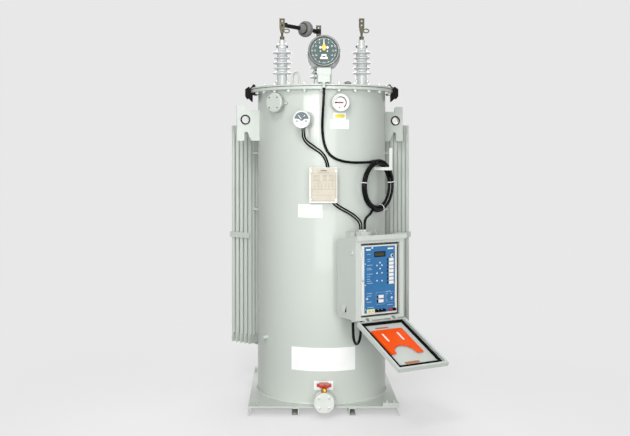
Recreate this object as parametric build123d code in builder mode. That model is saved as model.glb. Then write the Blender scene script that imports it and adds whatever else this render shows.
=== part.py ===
from build123d import *
from math import cos, degrees, pi, radians, sin, sqrt, tan
import os

os.makedirs("parts", exist_ok=True)

# A pole-type step voltage regulator standing on its own base, in millimetres.
# X points right and Y away from the front, Z is up from the ground, and the
# tank axis is the origin. An azimuth is the angle round the tank from its
# front, positive towards the right.

# General clearances
seat_gap = 0.3
running_gap = 0.05

# Main sizes of the tank and what it stands on
skid_height = 40.0
plate_thickness = 8.0
tank_radius = 340.0
tank_height = 1570.0
tank_wall = 5.0
rim_overhang = 38.0
rim_inset = 18.0
rim_thickness = 14.0
gasket_thickness = 3.0
cover_thickness = 8.0
base_top = skid_height + plate_thickness
tank_top = base_top + tank_height
gasket_bottom = tank_top + rim_thickness
cover_bottom = gasket_bottom + gasket_thickness
cover_top = cover_bottom + cover_thickness
rim_radius = tank_radius + rim_overhang
rim_inner = tank_radius - rim_inset

# Base frame
plate_margin = 34.0
plate_half = tank_radius + plate_margin
skirt_thickness = 5.0
skirt_inset = 10.0
skirt_flare = 13.0
channel_inner = 123.0
channel_width = 35.0
channel_web = 5.0
channel_bolt_radius = 7.0
channel_bolt_inset = 34.0
anchor_inset_x = 40.0
anchor_inset_y = 68.0
anchor_spacing_x = 2 * (plate_half - anchor_inset_x)
anchor_spacing_y = 2 * (plate_half - anchor_inset_y)
anchor_radius = 8.5
ground_pad_length = 80.0
ground_pad_depth = 29.0
ground_pad_height = 17.0
ground_pad_inset = 42.0
ground_pad_x = plate_half - ground_pad_inset
ground_stud_spacing = 35.0
ground_stud_radius = 5.0
ground_stud_height = 9.0

# Welds, floor and gasket
weld_leg = 7.0
floor_thickness = 6.0
gasket_recess = 5.0

# Rim clamps, one at each end of the cover's width
clamp_azimuth = 88.0
clamp_width = 62.0
clamp_wall = 9.0
clamp_reach = 42.0
clamp_drop = 45.0
clamp_slope = 14.0

# Cover lifting eye
eye_x = -137.0
eye_y = -100.0
eye_turn = 62.0
eye_ring_radius = 37.0
eye_bar_radius = 5.5
eye_rise = 42.0

# Lifting lugs on the tank
lug_azimuth = 104.0
lug_thickness = 12.0
lug_out = 120.0
lug_drop = 255.0
lug_reach = tank_radius + lug_out
lug_bottom = tank_top - lug_drop
lug_height = 160.0
lug_ear_width = 42.0
lug_ear_height = 27.0
lug_hole_radius = 18.7
lug_ring_radius = 25.7
lug_ring_proud = 5.0
lug_hole_inset = 44.0
lug_hole_reach = lug_reach - lug_hole_inset
lug_hole_height = 111.0
lug_notch_inset = 49.0
lug_notch_reach = lug_reach - lug_notch_inset
lug_notch_half = 11.0
lug_notch_spread = 17.0
lug_notch_height = 48.0

# Radiators
radiator_azimuth = 127.0
panel_count = 5
panel_out = 60.0
panel_reach = tank_radius + panel_out
panel_pitch = 30.0
panel_width = 260.0
panel_web = 3.0
panel_foot = 198.0
panel_headroom = 166.0
panel_bottom = base_top + panel_foot
panel_top = tank_top - panel_headroom
panel_height = panel_top - panel_bottom
flute_count = 9
flute_pitch = 28.0
flute_width = 23.0
flute_depth = 11.0
flute_margin = 50.0
header_radius = 26.0
header_wall = 5.0
header_margin = 42.0
boss_radius = 37.0
boss_length = 14.0
tie_height = 30.0
tie_thickness = 4.0
tie_rise = 599.0
tie_level = panel_bottom + tie_rise
stay_drops = (462.0, 154.0)
stay_offset = 100.0
stay_width = 6.0
stay_height = 13.0
gusset_thickness = 8.0
gusset_height = 45.0
gusset_tip = 14.0

# Bushings
bushing_spread = 210.0
bushing_front_y = -60.0
bushing_rear_x = -10.0
bushing_rear_y = 213.0
core_radius = 27.0
foot_radius = 29.0
shed_large = 49.5
shed_small = 43.5
shed_count = 5
shed_first = 74.0
shed_pitch = 27.0
shed_rim = 8.0
shed_rise = 8.0
shed_undercut = 5.0
neck_radius = 22.5
neck_top = 222.0
spigot_radius = 24.0
spigot_depth = 20.0
collar_wall = 12.0
collar_height = 9.0
hook_count = 4
hook_turn = 45.0
hook_width = 16.0
hook_bar = 7.0
hook_reach = 25.0
hook_height = 27.0
hook_shoulder = 9.0

# Bushing terminals
cap_radius = 16.5
cap_foot_radius = 21.5
cap_height = 31.0
clamp_ear_reach = 25.0
clamp_ear_radius = 6.5
clamp_ear_rise = 9.0
nut_radius = 12.0
nut_height = 18.0
stem_radius = 6.0
stem_length = 12.0
blade_width = 29.0
blade_height = 46.0
blade_thickness = 8.0
bulb_width = 24.0
bulb_height = 38.0
pad_hole_radius = 4.5
pad_hole_spacing = 22.0
pad_hole_edge = 14.0
loop_outer_x = 17.0
loop_outer_z = 12.5
loop_bar = 5.5
loop_offset = 24.0
loop_drop = 20.0

# Series arrester between the left and the rear terminals
arrester_drop = 34.0
lead_radius = 11.0
lead_start = 16.0
arrester_disc_start = 196.0
arrester_disc_length = 32.0
arrester_disc_radius = 44.0
arrester_cone_length = 42.0
arrester_cone_radius = 34.0
arrester_nose_radius = 14.0
tongue_thickness = 4.0
tongue_width = 24.0
tongue_length = 40.0

# Fittings on the tank
rim_break = 2.5
hand_hole_azimuth = -39.0
hand_hole_drop = 65.0
hand_hole_out = 60.0
hand_hole_height = tank_top - hand_hole_drop
hand_hole_reach = tank_radius + hand_hole_out
hand_hole_radius = 50.0
hand_hole_neck = 30.0
hand_hole_cover = 7.0
hand_hole_gasket = 2.0
hand_hole_flange = 8.0
plug_radius = 7.5
plug_length = 14.0
plug_gap = 1.67
plug_drop = 2.0
plug_azimuth = hand_hole_azimuth + degrees((hand_hole_neck + plug_radius + plug_gap) / tank_radius)
plug_height = hand_hole_height - plug_drop
earth_boss_azimuth = -57.0
earth_boss_rise = 304.0
earth_boss_height = base_top + earth_boss_rise
earth_boss_radius = 10.0
earth_boss_length = 26.0
level_azimuth = 12.7
level_drop = 68.0
level_out = 45.0
level_height = tank_top - level_drop
level_reach = tank_radius + level_out
level_radius = 44.0
level_neck_radius = 30.0
thermo_azimuth = -15.0
thermo_drop = 153.0
thermo_out = 90.0
thermo_height = tank_top - thermo_drop
thermo_reach = tank_radius + thermo_out
thermo_radius = 43.0
thermo_stem_radius = 17.0
gauge_depth = 26.0
gauge_recess = 4.0
gauge_rim = 6.0
thermo_gland_radius = 5.0
thermo_gland_offsets = (2.0, 13.0)
thermo_gland_length = 18.0

# Position indicator over the front of the cover
nipple_radius = 8.5
nipple_height = 27.0
nipple_clear = 3.5
nipple_setback = 6.0
box_setback = 4.0
nipple_reach = rim_radius + nipple_clear + nipple_radius
box_front = nipple_reach + nipple_setback
dial_front = box_front + box_setback
dial_rise = 161.0
dial_height = cover_top + dial_rise
dial_radius = 75.0
dial_face_radius = 70.0
dial_recess = 6.0
bezel_depth = 22.0
drum_radius = 80.0
drum_drop = 22.0
drum_depth = 46.0
neck_width = 69.0
upper_box_height = 34.0
upper_box_depth = 58.0
upper_box_rise = 77.0
upper_box_top = cover_top + upper_box_rise
lower_box_width = 59.0
lower_box_depth = 50.0
lower_box_setback = 2.0
lower_box_lift = 6.3
stand_width = 84.0
stand_thickness = 6.0
stand_foot = 40.0

# Drain valve
drain_rise = 32.0
drain_height = base_top + drain_rise
drain_pipe_radius = 24.0
drain_flange_radius = 50.0
drain_flange_clear = 16.0
drain_flange_back = plate_half + drain_flange_clear
drain_flange_thickness = 10.0
drain_body_radius = 31.0
drain_body_length = 26.0
drain_neck_radius = 12.0
drain_neck_height = 48.0
drain_bonnet_top = drain_height + drain_neck_height
bonnet_hex_radius = 14.0
bonnet_hex_height = 22.0
stem_shaft_radius = 5.0
wheel_radius = 36.5
wheel_lobe_radius = 10.0
wheel_lobes = 6
wheel_height = 14.0
wheel_hub_radius = 13.0
wheel_hub_height = 19.0

# Nameplate on standoffs
nameplate_x = -3.0
nameplate_width = 138.0
nameplate_height = 175.0
nameplate_drop = 564.0
nameplate_out = 48.0
nameplate_bottom = tank_top - nameplate_drop
nameplate_front = tank_radius + nameplate_out
nameplate_thickness = 3.0
nameplate_post_radius = 3.5
nameplate_post_inset_x = 7.0
nameplate_post_inset_z = 15.5
nameplate_post_x = nameplate_width / 2 - nameplate_post_inset_x
nameplate_post_z = nameplate_height / 2 - nameplate_post_inset_z

# Control cabinet
cabinet_azimuth = 29.0
cabinet_out = 47.0
cabinet_depth = 165.0
cabinet_rear = tank_radius + cabinet_out
cabinet_front = cabinet_rear + cabinet_depth
cabinet_half = 139.0
cabinet_rise = 452.0
cabinet_front_height = 402.0
cabinet_rear_height = 370.0
cabinet_bottom = base_top + cabinet_rise
cabinet_front_top = cabinet_bottom + cabinet_front_height
cabinet_rear_top = cabinet_bottom + cabinet_rear_height
cabinet_wall = 2.5
frame_left = 30.0
frame_right = 22.0
frame_bottom = 15.0
frame_top = 34.0
frame_lip = 12.0
opening_left = frame_left - cabinet_half
opening_right = cabinet_half - frame_right
opening_bottom = cabinet_bottom + frame_bottom
opening_top = cabinet_front_top - frame_top
roof_thickness = 3.0
roof_drip = 10.0
roof_front = cabinet_front + roof_drip
roof_overhang = 12.0
fascia_height = 24.0
bracket_offset = 48.0
bracket_width = 22.0
bracket_foot = 60.0
bracket_head = 38.0
bracket_bottom = cabinet_bottom + bracket_foot
bracket_top = cabinet_rear_top + bracket_head
bracket_wall = 4.0
arm_offset = 120.0
arm_thickness = 3.0
arm_height = 45.0
gland_box_back = 110.0
gland_box_depth = 45.0
gland_box_left = -38.0
gland_box_right = 7.0
gland_box_head = 10.0
gland_box_top = cabinet_front_top + gland_box_head
gland_line = 132.0
small_gland_radius = 5.5
large_gland_radius = 9.0
gland_length = 10.0
small_gland_places = (-30.0, -18.0)
large_gland_place = -1.0
hood_height = 34.0
hood_length = 34.0
hood_reach = 9.0
hood_foot = 32.0
hood_bottom = cabinet_bottom + hood_foot
hood_back = 118.0
hasp_drop = 80.0
hasp_height = cabinet_front_top - hasp_drop
hasp_back = 32.0
hasp_radius = 11.0
hasp_thickness = 6.0
loop_gland_radius = 10.0
loop_gland_length = 12.0
loop_gland_backs = (57.0, 114.0)
loop_gland_across = (-117.8, -34.7)

# Control panel
control_gap_left = 4.0
control_gap_right = 16.0
control_gap_bottom = 9.0
control_gap_top = 11.0
control_recess = 4.0
control_left = opening_left + control_gap_left
control_right = opening_right - control_gap_right
control_bottom = opening_bottom + control_gap_bottom
control_top = opening_top - control_gap_top
control_front = cabinet_front - control_recess
control_depth = 14.0
control_sheet = 3.0
barrel_radius = 3.5
barrel_length = 30.0
barrel_inset = 42.5
barrel_heights = (control_bottom + barrel_inset, control_top - barrel_inset)
faceplate_margin_left = 17.0
faceplate_margin_right = 13.0
faceplate_margin_bottom = 9.0
faceplate_margin_top = 6.0
faceplate_left = control_left + faceplate_margin_left
faceplate_right = control_right - faceplate_margin_right
faceplate_bottom = control_bottom + faceplate_margin_bottom
faceplate_top = control_top - faceplate_margin_top
faceplate_thickness = 3.0
switch_count = 7
switch_drop = 67.0
switch_inset = 42.0
switch_top = faceplate_top - switch_drop
switch_pitch = 18.4
switch_x = faceplate_right - switch_inset
switch_width = 6.0
switch_height = 11.0
switch_proud = 4.0
post_rise = 9.0
post_insets = (110.0, 89.0, 67.0, 29.0, 6.0)
post_height = faceplate_bottom + post_rise
post_places = [faceplate_right - inset for inset in post_insets]
post_radius = 8.0
post_length = 12.0
receptacle_inset = 33.0
receptacle_x = faceplate_left + receptacle_inset
receptacle_width = 44.0
receptacle_height = 20.0
receptacle_proud = 6.0
knob_inset = 8.0
knob_rise = 167.0
knob_x = control_left + knob_inset
knob_height = control_bottom + knob_rise
knob_radius = 5.0
knob_length = 5.0

# Door, hung on the cabinet's bottom front edge
hinge_forward = 8.0
hinge_below = 2.0
hinge_out = cabinet_front + hinge_forward
hinge_height = cabinet_bottom - hinge_below
door_open = 114.0
door_start = 7.0
door_short = 34.0
door_length = cabinet_front_height - door_short
door_depth = 20.0
door_inner_face = 3.0
door_sheet = 2.0
door_lip = 12.0
catch_radius = 5.0
catch_proud = 6.0
catch_end_inset = 66.0
hinge_inset = 64.0
hinge_spread = cabinet_half - hinge_inset
knuckle_radius = 5.0
pin_radius = 2.5
fixed_knuckle = 16.0
door_knuckle = 11.5
knuckle_gap = 0.5
leaf_thickness = 3.0
leaf_wrap = 1.0
leaf_height = 15.0
leaf_lift = 5.0
seal_side_inset = 21.0
seal_start_inset = 5.0
seal_end_inset = 24.0
seal_half_width = cabinet_half - seal_side_inset
seal_start = door_start + seal_start_inset
seal_end = door_start + door_length - seal_end_inset
seal_width = 7.0
seal_height = 13.0
pocket_inset_left = 40.0
pocket_inset_right = 65.0
pocket_end_gap = 111.0
pocket_skew = 8.0
pocket_left = pocket_inset_left - cabinet_half
pocket_right = cabinet_half - pocket_inset_right
pocket_top = 72.0
pocket_right_end = door_start + door_length - pocket_end_gap
pocket_left_end = pocket_right_end - pocket_skew
pocket_tip_width = 39.0
pocket_sheet = 2.5
pocket_proud = 10.0
pocket_arch_depth = 64.0
pocket_arch = pocket_right_end - pocket_arch_depth
pocket_foot = 27.0
slot_inset_left = 43.0
slot_inset_right = 45.0
slot_places = (pocket_left + slot_inset_left, pocket_right - slot_inset_right)
slot_length = 64.0
slot_width = 11.0
slot_below = 61.0
slot_middle = pocket_top + slot_below

# Cables
indicator_cable_radius = 6.75
gauge_cable_radius = 4.0
coil_azimuth = 50.0
coil_out = 24.0
coil_drop = 484.0
coil_reach = tank_radius + coil_out
coil_height = tank_top - coil_drop
coil_outer = 136.0
coil_inner = 103.0
coil_thickness = 26.0

# Cable hanger
hanger_behind = 22.0
hanger_thickness = 6.0
hanger_beyond = 77.0
hanger_width = 16.0
hanger_rise = 191.0


def facing(azimuth, reach, height, across=0.0):
    """Plane that looks outward from the tank: x to the right, y up, z outward."""
    turn = radians(azimuth)
    out = Vector(sin(turn), -cos(turn), 0)
    right = Vector(cos(turn), sin(turn), 0)
    return Plane(
        origin=out * reach + right * across + Vector(0, 0, height),
        x_dir=right,
        z_dir=out,
    )


def plan(azimuth, height):
    """Level plane on the tank axis: x outward, y to the right, z up."""
    turn = radians(azimuth)
    return Plane(origin=(0, 0, height), x_dir=(sin(turn), -cos(turn), 0), z_dir=(0, 0, 1))


def side_view(azimuth, across=0.0):
    """Upright plane through the tank axis: x outward, y up, z to the left."""
    turn = radians(azimuth)
    out = Vector(sin(turn), -cos(turn), 0)
    right = Vector(cos(turn), sin(turn), 0)
    return Plane(origin=right * across, x_dir=out, z_dir=right * -1)


def cut_for_tank():
    """Takes the tank's round wall, and its seat, out of the part being made."""
    Cylinder(tank_radius + seat_gap, 2 * tank_top, mode=Mode.SUBTRACT)


def route_radii(points):
    """Largest sensible bend at each corner of a cable's route."""
    radii = []
    for before, here, after in zip(points, points[1:], points[2:]):
        run_in = Vector(*here) - Vector(*before)
        run_out = Vector(*after) - Vector(*here)
        shorter = min(run_in.length, run_out.length)
        radii.append(0.45 * shorter / tan(radians(run_in.get_angle(run_out) / 2)))
    return radii


def print_cable(name, solid, points, radius):
    """Prints a cable's tightest bend and compares its volume with its length."""
    radii = route_radii(points)
    with BuildLine() as check:
        FilletPolyline(*points, radius=radii)
    length = check.wire().length
    ratio = solid.volume / (length * pi * radius**2)
    print(f"{name}: length {length:.0f}, tightest bend {min(radii):.0f}, volume ratio {ratio:.4f}")
    print(f"{name}: radii", [round(value) for value in radii])


# Base plate with its anchor holes and two earthing pads
with BuildPart() as base_plate:
    with BuildSketch(Plane.XY.offset(skid_height)):
        Rectangle(2 * plate_half, 2 * plate_half)
        with GridLocations(anchor_spacing_x, anchor_spacing_y, 2, 2):
            Circle(anchor_radius, mode=Mode.SUBTRACT)
    extrude(amount=plate_thickness)
    pad_y = plate_half - ground_pad_depth / 2
    pad_places = [(ground_pad_x, -pad_y), (-ground_pad_x, pad_y)]
    with BuildSketch(Plane.XY.offset(base_top)):
        with Locations(pad_places):
            Rectangle(ground_pad_length, ground_pad_depth)
    extrude(amount=ground_pad_height)
    with BuildSketch(Plane.XY.offset(base_top + ground_pad_height)):
        with Locations(pad_places):
            with GridLocations(ground_stud_spacing, 1, 2, 1):
                Circle(ground_stud_radius)
    extrude(amount=ground_stud_height)
base_plate.part.label = "base_plate"
export_step(base_plate.part, "parts/base_plate.step")

# Skids under the plate: two flared skirts and two channels with their backs inwards
with BuildPart() as base_skids:
    with BuildSketch(Plane.XZ.offset(-plate_half)):
        skirt_top = plate_half - skirt_inset
        skirt_foot = skirt_top + skirt_flare
        Polygon(
            (skirt_top - skirt_thickness, skid_height),
            (skirt_foot - skirt_thickness, 0),
            (skirt_foot, 0),
            (skirt_top, skid_height),
            align=None,
        )
        with Locations((channel_inner + channel_width / 2, skid_height / 2)):
            Rectangle(channel_width, skid_height)
        with Locations((channel_inner + channel_web + channel_width / 2, skid_height / 2)):
            Rectangle(channel_width, skid_height - 2 * channel_web, mode=Mode.SUBTRACT)
        mirror(about=Plane.YZ)
    extrude(amount=2 * plate_half)
    flange_middle = channel_inner + (channel_width + channel_web) / 2
    with BuildSketch(Plane.XY):
        with GridLocations(2 * flange_middle, 2 * (plate_half - channel_bolt_inset), 2, 2):
            Circle(channel_bolt_radius)
    extrude(amount=channel_web, mode=Mode.SUBTRACT)
base_skids.part.label = "base_skids"
export_step(base_skids.part, "parts/base_skids.step")

# Tank wall, with the weld that joins it to the base plate
with BuildPart() as tank_shell:
    with BuildSketch(Plane.XZ):
        Polygon(
            (tank_radius - tank_wall, base_top),
            (tank_radius + weld_leg, base_top),
            (tank_radius, base_top + weld_leg),
            (tank_radius, tank_top),
            (tank_radius - tank_wall, tank_top),
            align=None,
        )
    revolve(axis=Axis.Z)
tank_shell.part.label = "tank_shell"
export_step(tank_shell.part, "parts/tank_shell.step")

with BuildPart() as tank_floor:
    with BuildSketch(Plane.XY.offset(base_top)):
        Circle(tank_radius - tank_wall - seat_gap)
    extrude(amount=floor_thickness)
tank_floor.part.label = "tank_floor"
export_step(tank_floor.part, "parts/tank_floor.step")

with BuildPart() as tank_rim:
    with BuildSketch(Plane.XY.offset(tank_top)):
        Circle(rim_radius)
        Circle(rim_inner, mode=Mode.SUBTRACT)
    extrude(amount=rim_thickness)
tank_rim.part.label = "tank_rim"
export_step(tank_rim.part, "parts/tank_rim.step")

with BuildPart() as cover_gasket:
    with BuildSketch(Plane.XY.offset(gasket_bottom)):
        Circle(rim_radius - gasket_recess)
        Circle(rim_inner, mode=Mode.SUBTRACT)
    extrude(amount=gasket_thickness)
cover_gasket.part.label = "cover_gasket"
export_step(cover_gasket.part, "parts/cover_gasket.step")

bushing_places = {
    "left": (-bushing_spread, bushing_front_y),
    "right": (bushing_spread, bushing_front_y),
    "rear": (bushing_rear_x, bushing_rear_y),
}

with BuildPart() as cover:
    with BuildSketch(Plane.XY.offset(cover_bottom)):
        Circle(rim_radius)
        with Locations(*bushing_places.values()):
            Circle(spigot_radius + seat_gap, mode=Mode.SUBTRACT)
    extrude(amount=cover_thickness)
cover.part.label = "cover"
export_step(cover.part, "parts/cover.step")

# Lifting eye welded on the cover: a bar bent to a tall loop
eye_side = Plane(
    origin=(eye_x, eye_y, cover_top),
    x_dir=(cos(radians(eye_turn)), -sin(radians(eye_turn)), 0),
    z_dir=(-sin(radians(eye_turn)), -cos(radians(eye_turn)), 0),
)
with BuildPart() as cover_eye:
    with BuildLine(eye_side):
        eye_path = Polyline((eye_ring_radius, 0), (eye_ring_radius, eye_rise))
        ThreePointArc(
            (eye_ring_radius, eye_rise),
            (0, eye_rise + eye_ring_radius),
            (-eye_ring_radius, eye_rise),
        )
        Line((-eye_ring_radius, eye_rise), (-eye_ring_radius, 0))
    with BuildSketch(Plane(origin=eye_path @ 0, z_dir=(0, 0, 1))):
        Circle(eye_bar_radius)
    sweep()
cover_eye.part.label = "cover_eye"
export_step(cover_eye.part, "parts/cover_eye.step")

# Clamps that grip the rim and the cover at both ends of their width
with BuildPart() as rim_clamps:
    for clamp_angle in (-clamp_azimuth, clamp_azimuth):
        clamp_outer = rim_radius + seat_gap + clamp_wall
        clamp_inner = clamp_outer - clamp_reach
        clamp_low = tank_top - clamp_drop
        clamp_high = cover_top + clamp_wall
        with BuildSketch(side_view(clamp_angle, clamp_width / 2)):
            Polygon(
                (clamp_inner, clamp_low),
                (clamp_outer - clamp_slope, clamp_low),
                (clamp_outer, clamp_low + clamp_slope),
                (clamp_outer, clamp_high - clamp_slope),
                (clamp_outer - clamp_slope, clamp_high),
                (clamp_inner, clamp_high),
                align=None,
            )
        extrude(amount=clamp_width)
    with BuildSketch(Plane.XY.offset(tank_top - seat_gap)):
        Circle(rim_radius + seat_gap)
    extrude(amount=cover_top - tank_top + 2 * seat_gap, mode=Mode.SUBTRACT)
    with BuildSketch(Plane.XY.offset(tank_top - clamp_drop)):
        Circle(rim_radius - clamp_wall)
    extrude(amount=clamp_drop - clamp_wall, mode=Mode.SUBTRACT)
    cut_for_tank()
rim_clamps.part.label = "rim_clamps"
export_step(rim_clamps.part, "parts/rim_clamps.step")

# Lifting lugs: radial plates with an eye, an upstanding ear and a hook notch below
for lug_name, lug_angle in (("lug_left", lug_azimuth - 180), ("lug_right", lug_azimuth)):
    with BuildPart() as lug:
        with BuildSketch(side_view(lug_angle, lug_thickness / 2)):
            body_top = lug_bottom + lug_height
            ear_start = lug_reach - lug_ear_width
            Polygon(
                (tank_radius - tank_wall, lug_bottom),
                (lug_reach, lug_bottom),
                (lug_reach, body_top + lug_ear_height),
                (ear_start, body_top + lug_ear_height),
                (ear_start - lug_notch_half / 2, body_top),
                (tank_radius - tank_wall, body_top),
                align=None,
            )
            arch_z = lug_bottom + lug_notch_height - lug_notch_half
            Polygon(
                (lug_notch_reach - lug_notch_half - lug_notch_spread, lug_bottom),
                (lug_notch_reach + lug_notch_half, lug_bottom),
                (lug_notch_reach + lug_notch_half, arch_z),
                (lug_notch_reach - lug_notch_half, arch_z),
                align=None,
                mode=Mode.SUBTRACT,
            )
            with Locations((lug_notch_reach, arch_z)):
                Circle(lug_notch_half, mode=Mode.SUBTRACT)
        extrude(amount=lug_thickness)
        ring_width = lug_thickness + 2 * lug_ring_proud
        with BuildSketch(side_view(lug_angle, ring_width / 2)):
            with Locations((lug_hole_reach, lug_bottom + lug_hole_height)):
                Circle(lug_ring_radius)
        extrude(amount=ring_width)
        with BuildSketch(side_view(lug_angle, ring_width / 2)):
            with Locations((lug_hole_reach, lug_bottom + lug_hole_height)):
                Circle(lug_hole_radius)
        extrude(amount=ring_width, mode=Mode.SUBTRACT)
        cut_for_tank()
    lug.part.label = lug_name
    export_step(lug.part, f"parts/{lug_name}.step")

# Radiators: fluted panels one behind the other, on an upper and a lower header
panel_last = panel_reach + (panel_count - 1) * panel_pitch
header_levels = (panel_bottom + header_margin, panel_bottom + panel_height - header_margin)
for side, radiator_angle in (("left", -radiator_azimuth), ("right", radiator_azimuth)):
    panel_places = [(panel_reach + index * panel_pitch, 0) for index in range(panel_count)]
    with BuildPart() as panels:
        with BuildSketch(plan(radiator_angle, panel_bottom)):
            with Locations(*panel_places):
                Rectangle(panel_web, panel_width)
        extrude(amount=panel_height)
        with BuildSketch(plan(radiator_angle, panel_bottom + flute_margin)):
            for panel_x, _ in panel_places:
                with Locations((panel_x, 0)):
                    with GridLocations(1, flute_pitch, 1, flute_count):
                        Polygon(
                            (0, -flute_width / 2),
                            (flute_depth / 2, -flute_width / 4),
                            (flute_depth / 2, flute_width / 4),
                            (0, flute_width / 2),
                            (-flute_depth / 2, flute_width / 4),
                            (-flute_depth / 2, -flute_width / 4),
                        )
        extrude(amount=panel_height - 2 * flute_margin)
        for panel_x, _ in panel_places:
            for level in header_levels:
                with BuildSketch(facing(radiator_angle, panel_x - boss_length / 2, level)):
                    Circle(boss_radius)
                extrude(amount=boss_length)
        for level in header_levels:
            with BuildSketch(facing(radiator_angle, 0, level)):
                Circle(header_radius + seat_gap)
            extrude(amount=2 * panel_last, mode=Mode.SUBTRACT)
    panels.part.label = f"radiator_{side}_panels"
    export_step(panels.part, f"parts/radiator_{side}_panels.step")

    with BuildPart() as headers:
        header_end = panel_last + boss_length
        for level in header_levels:
            with BuildSketch(facing(radiator_angle, 0, level)):
                Circle(header_radius)
            extrude(amount=header_end)
        cut_for_tank()
    headers.part.label = f"radiator_{side}_headers"
    export_step(headers.part, f"parts/radiator_{side}_headers.step")

# Flat ties across the panel edges, stays back to the tank, and a gusset under each radiator
with BuildPart() as radiator_braces:
    tie_start = panel_reach - flute_depth
    tie_end = panel_last + flute_depth
    tie_y = panel_width / 2 + seat_gap + tie_thickness / 2
    for radiator_angle in (-radiator_azimuth, radiator_azimuth):
        with BuildSketch(plan(radiator_angle, tie_level - tie_height / 2)):
            with Locations(((tie_start + tie_end) / 2, tie_y), ((tie_start + tie_end) / 2, -tie_y)):
                Rectangle(tie_end - tie_start, tie_thickness)
        extrude(amount=tie_height)
        stay_end = panel_reach - flute_depth / 2 - seat_gap
        for stay_drop in stay_drops:
            with BuildSketch(plan(radiator_angle, panel_top - stay_drop - stay_height / 2)):
                with Locations((stay_end / 2, stay_offset), (stay_end / 2, -stay_offset)):
                    Rectangle(stay_end, stay_width)
            extrude(amount=stay_height)
        gusset_top = panel_bottom - seat_gap
        with BuildSketch(side_view(radiator_angle, gusset_thickness / 2)):
            Polygon(
                (tank_radius - tank_wall, gusset_top),
                (tank_radius - tank_wall, gusset_top - gusset_height),
                (panel_last + flute_depth, gusset_top - gusset_tip),
                (panel_last + flute_depth, gusset_top),
                align=None,
            )
        extrude(amount=gusset_thickness)
    cut_for_tank()
radiator_braces.part.label = "radiator_braces"
export_step(radiator_braces.part, "parts/radiator_braces.step")

# Porcelain bushings: one turned profile, with large and small sheds by turns
bushing_profile = [(0, -spigot_depth), (spigot_radius, -spigot_depth), (spigot_radius, 0)]
bushing_profile.append((foot_radius, 0))
for index in range(shed_count):
    shed_radius = shed_large if index % 2 == 0 else shed_small
    shed_z = shed_first + index * shed_pitch
    root_radius = foot_radius if index == 0 else core_radius
    bushing_profile += [
        (root_radius, shed_z - shed_rim / 2 + shed_undercut),
        (shed_radius - shed_rim, shed_z - shed_rim / 2 + shed_undercut / 2),
        (shed_radius, shed_z - shed_rim / 2),
        (shed_radius, shed_z + shed_rim / 4),
        (core_radius, shed_z + shed_rim / 2 + shed_rise),
    ]
bushing_profile += [(neck_radius, neck_top - cap_height / 2), (neck_radius, neck_top), (0, neck_top)]
for name, (bushing_x, bushing_y) in bushing_places.items():
    bushing_axis = Axis((bushing_x, bushing_y, 0), (0, 0, 1))
    with BuildPart() as bushing:
        with BuildSketch(Plane(origin=(bushing_x, bushing_y, cover_top), z_dir=(0, -1, 0), x_dir=(1, 0, 0))):
            Polygon(*bushing_profile, align=None)
        revolve(axis=bushing_axis)
    bushing.part.label = f"bushing_{name}"
    export_step(bushing.part, f"parts/bushing_{name}.step")

# Cast collars round the bushings' feet, each with four hooked clamps over it
hook_inner = foot_radius + seat_gap
hook_outer = hook_inner + hook_reach
with BuildPart() as bushing_collars:
    for bushing_x, bushing_y in bushing_places.values():
        with BuildSketch(Plane.XY.offset(cover_top)):
            with Locations((bushing_x, bushing_y)):
                Circle(hook_inner + collar_wall)
                Circle(hook_inner, mode=Mode.SUBTRACT)
        extrude(amount=collar_height)
        for index in range(hook_count):
            hook_angle = radians(hook_turn + index * 360 / hook_count)
            hook_out = Vector(cos(hook_angle), sin(hook_angle), 0)
            hook_side = Vector(sin(hook_angle), -cos(hook_angle), 0)
            hook_origin = Vector(bushing_x, bushing_y, cover_top)
            with BuildSketch(Plane(origin=hook_origin, x_dir=hook_out, z_dir=hook_side)):
                Polygon(
                    (hook_inner, 0),
                    (hook_inner + hook_bar, 0),
                    (hook_inner + hook_bar, hook_height - hook_bar),
                    (hook_outer - hook_bar - hook_shoulder / 2, hook_height - hook_bar),
                    (hook_outer - hook_bar, hook_height - hook_shoulder - hook_bar / 2),
                    (hook_outer - hook_bar, 0),
                    (hook_outer, 0),
                    (hook_outer, hook_height - hook_shoulder),
                    (hook_outer - hook_shoulder, hook_height),
                    (hook_inner, hook_height),
                    align=None,
                )
            extrude(amount=hook_width / 2, both=True)
    for bushing_x, bushing_y in bushing_places.values():
        with Locations((bushing_x, bushing_y, cover_top)):
            Cylinder(hook_inner, 2 * hook_height, mode=Mode.SUBTRACT)
bushing_collars.part.label = "bushing_collars"
export_step(bushing_collars.part, "parts/bushing_collars.step")

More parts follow.
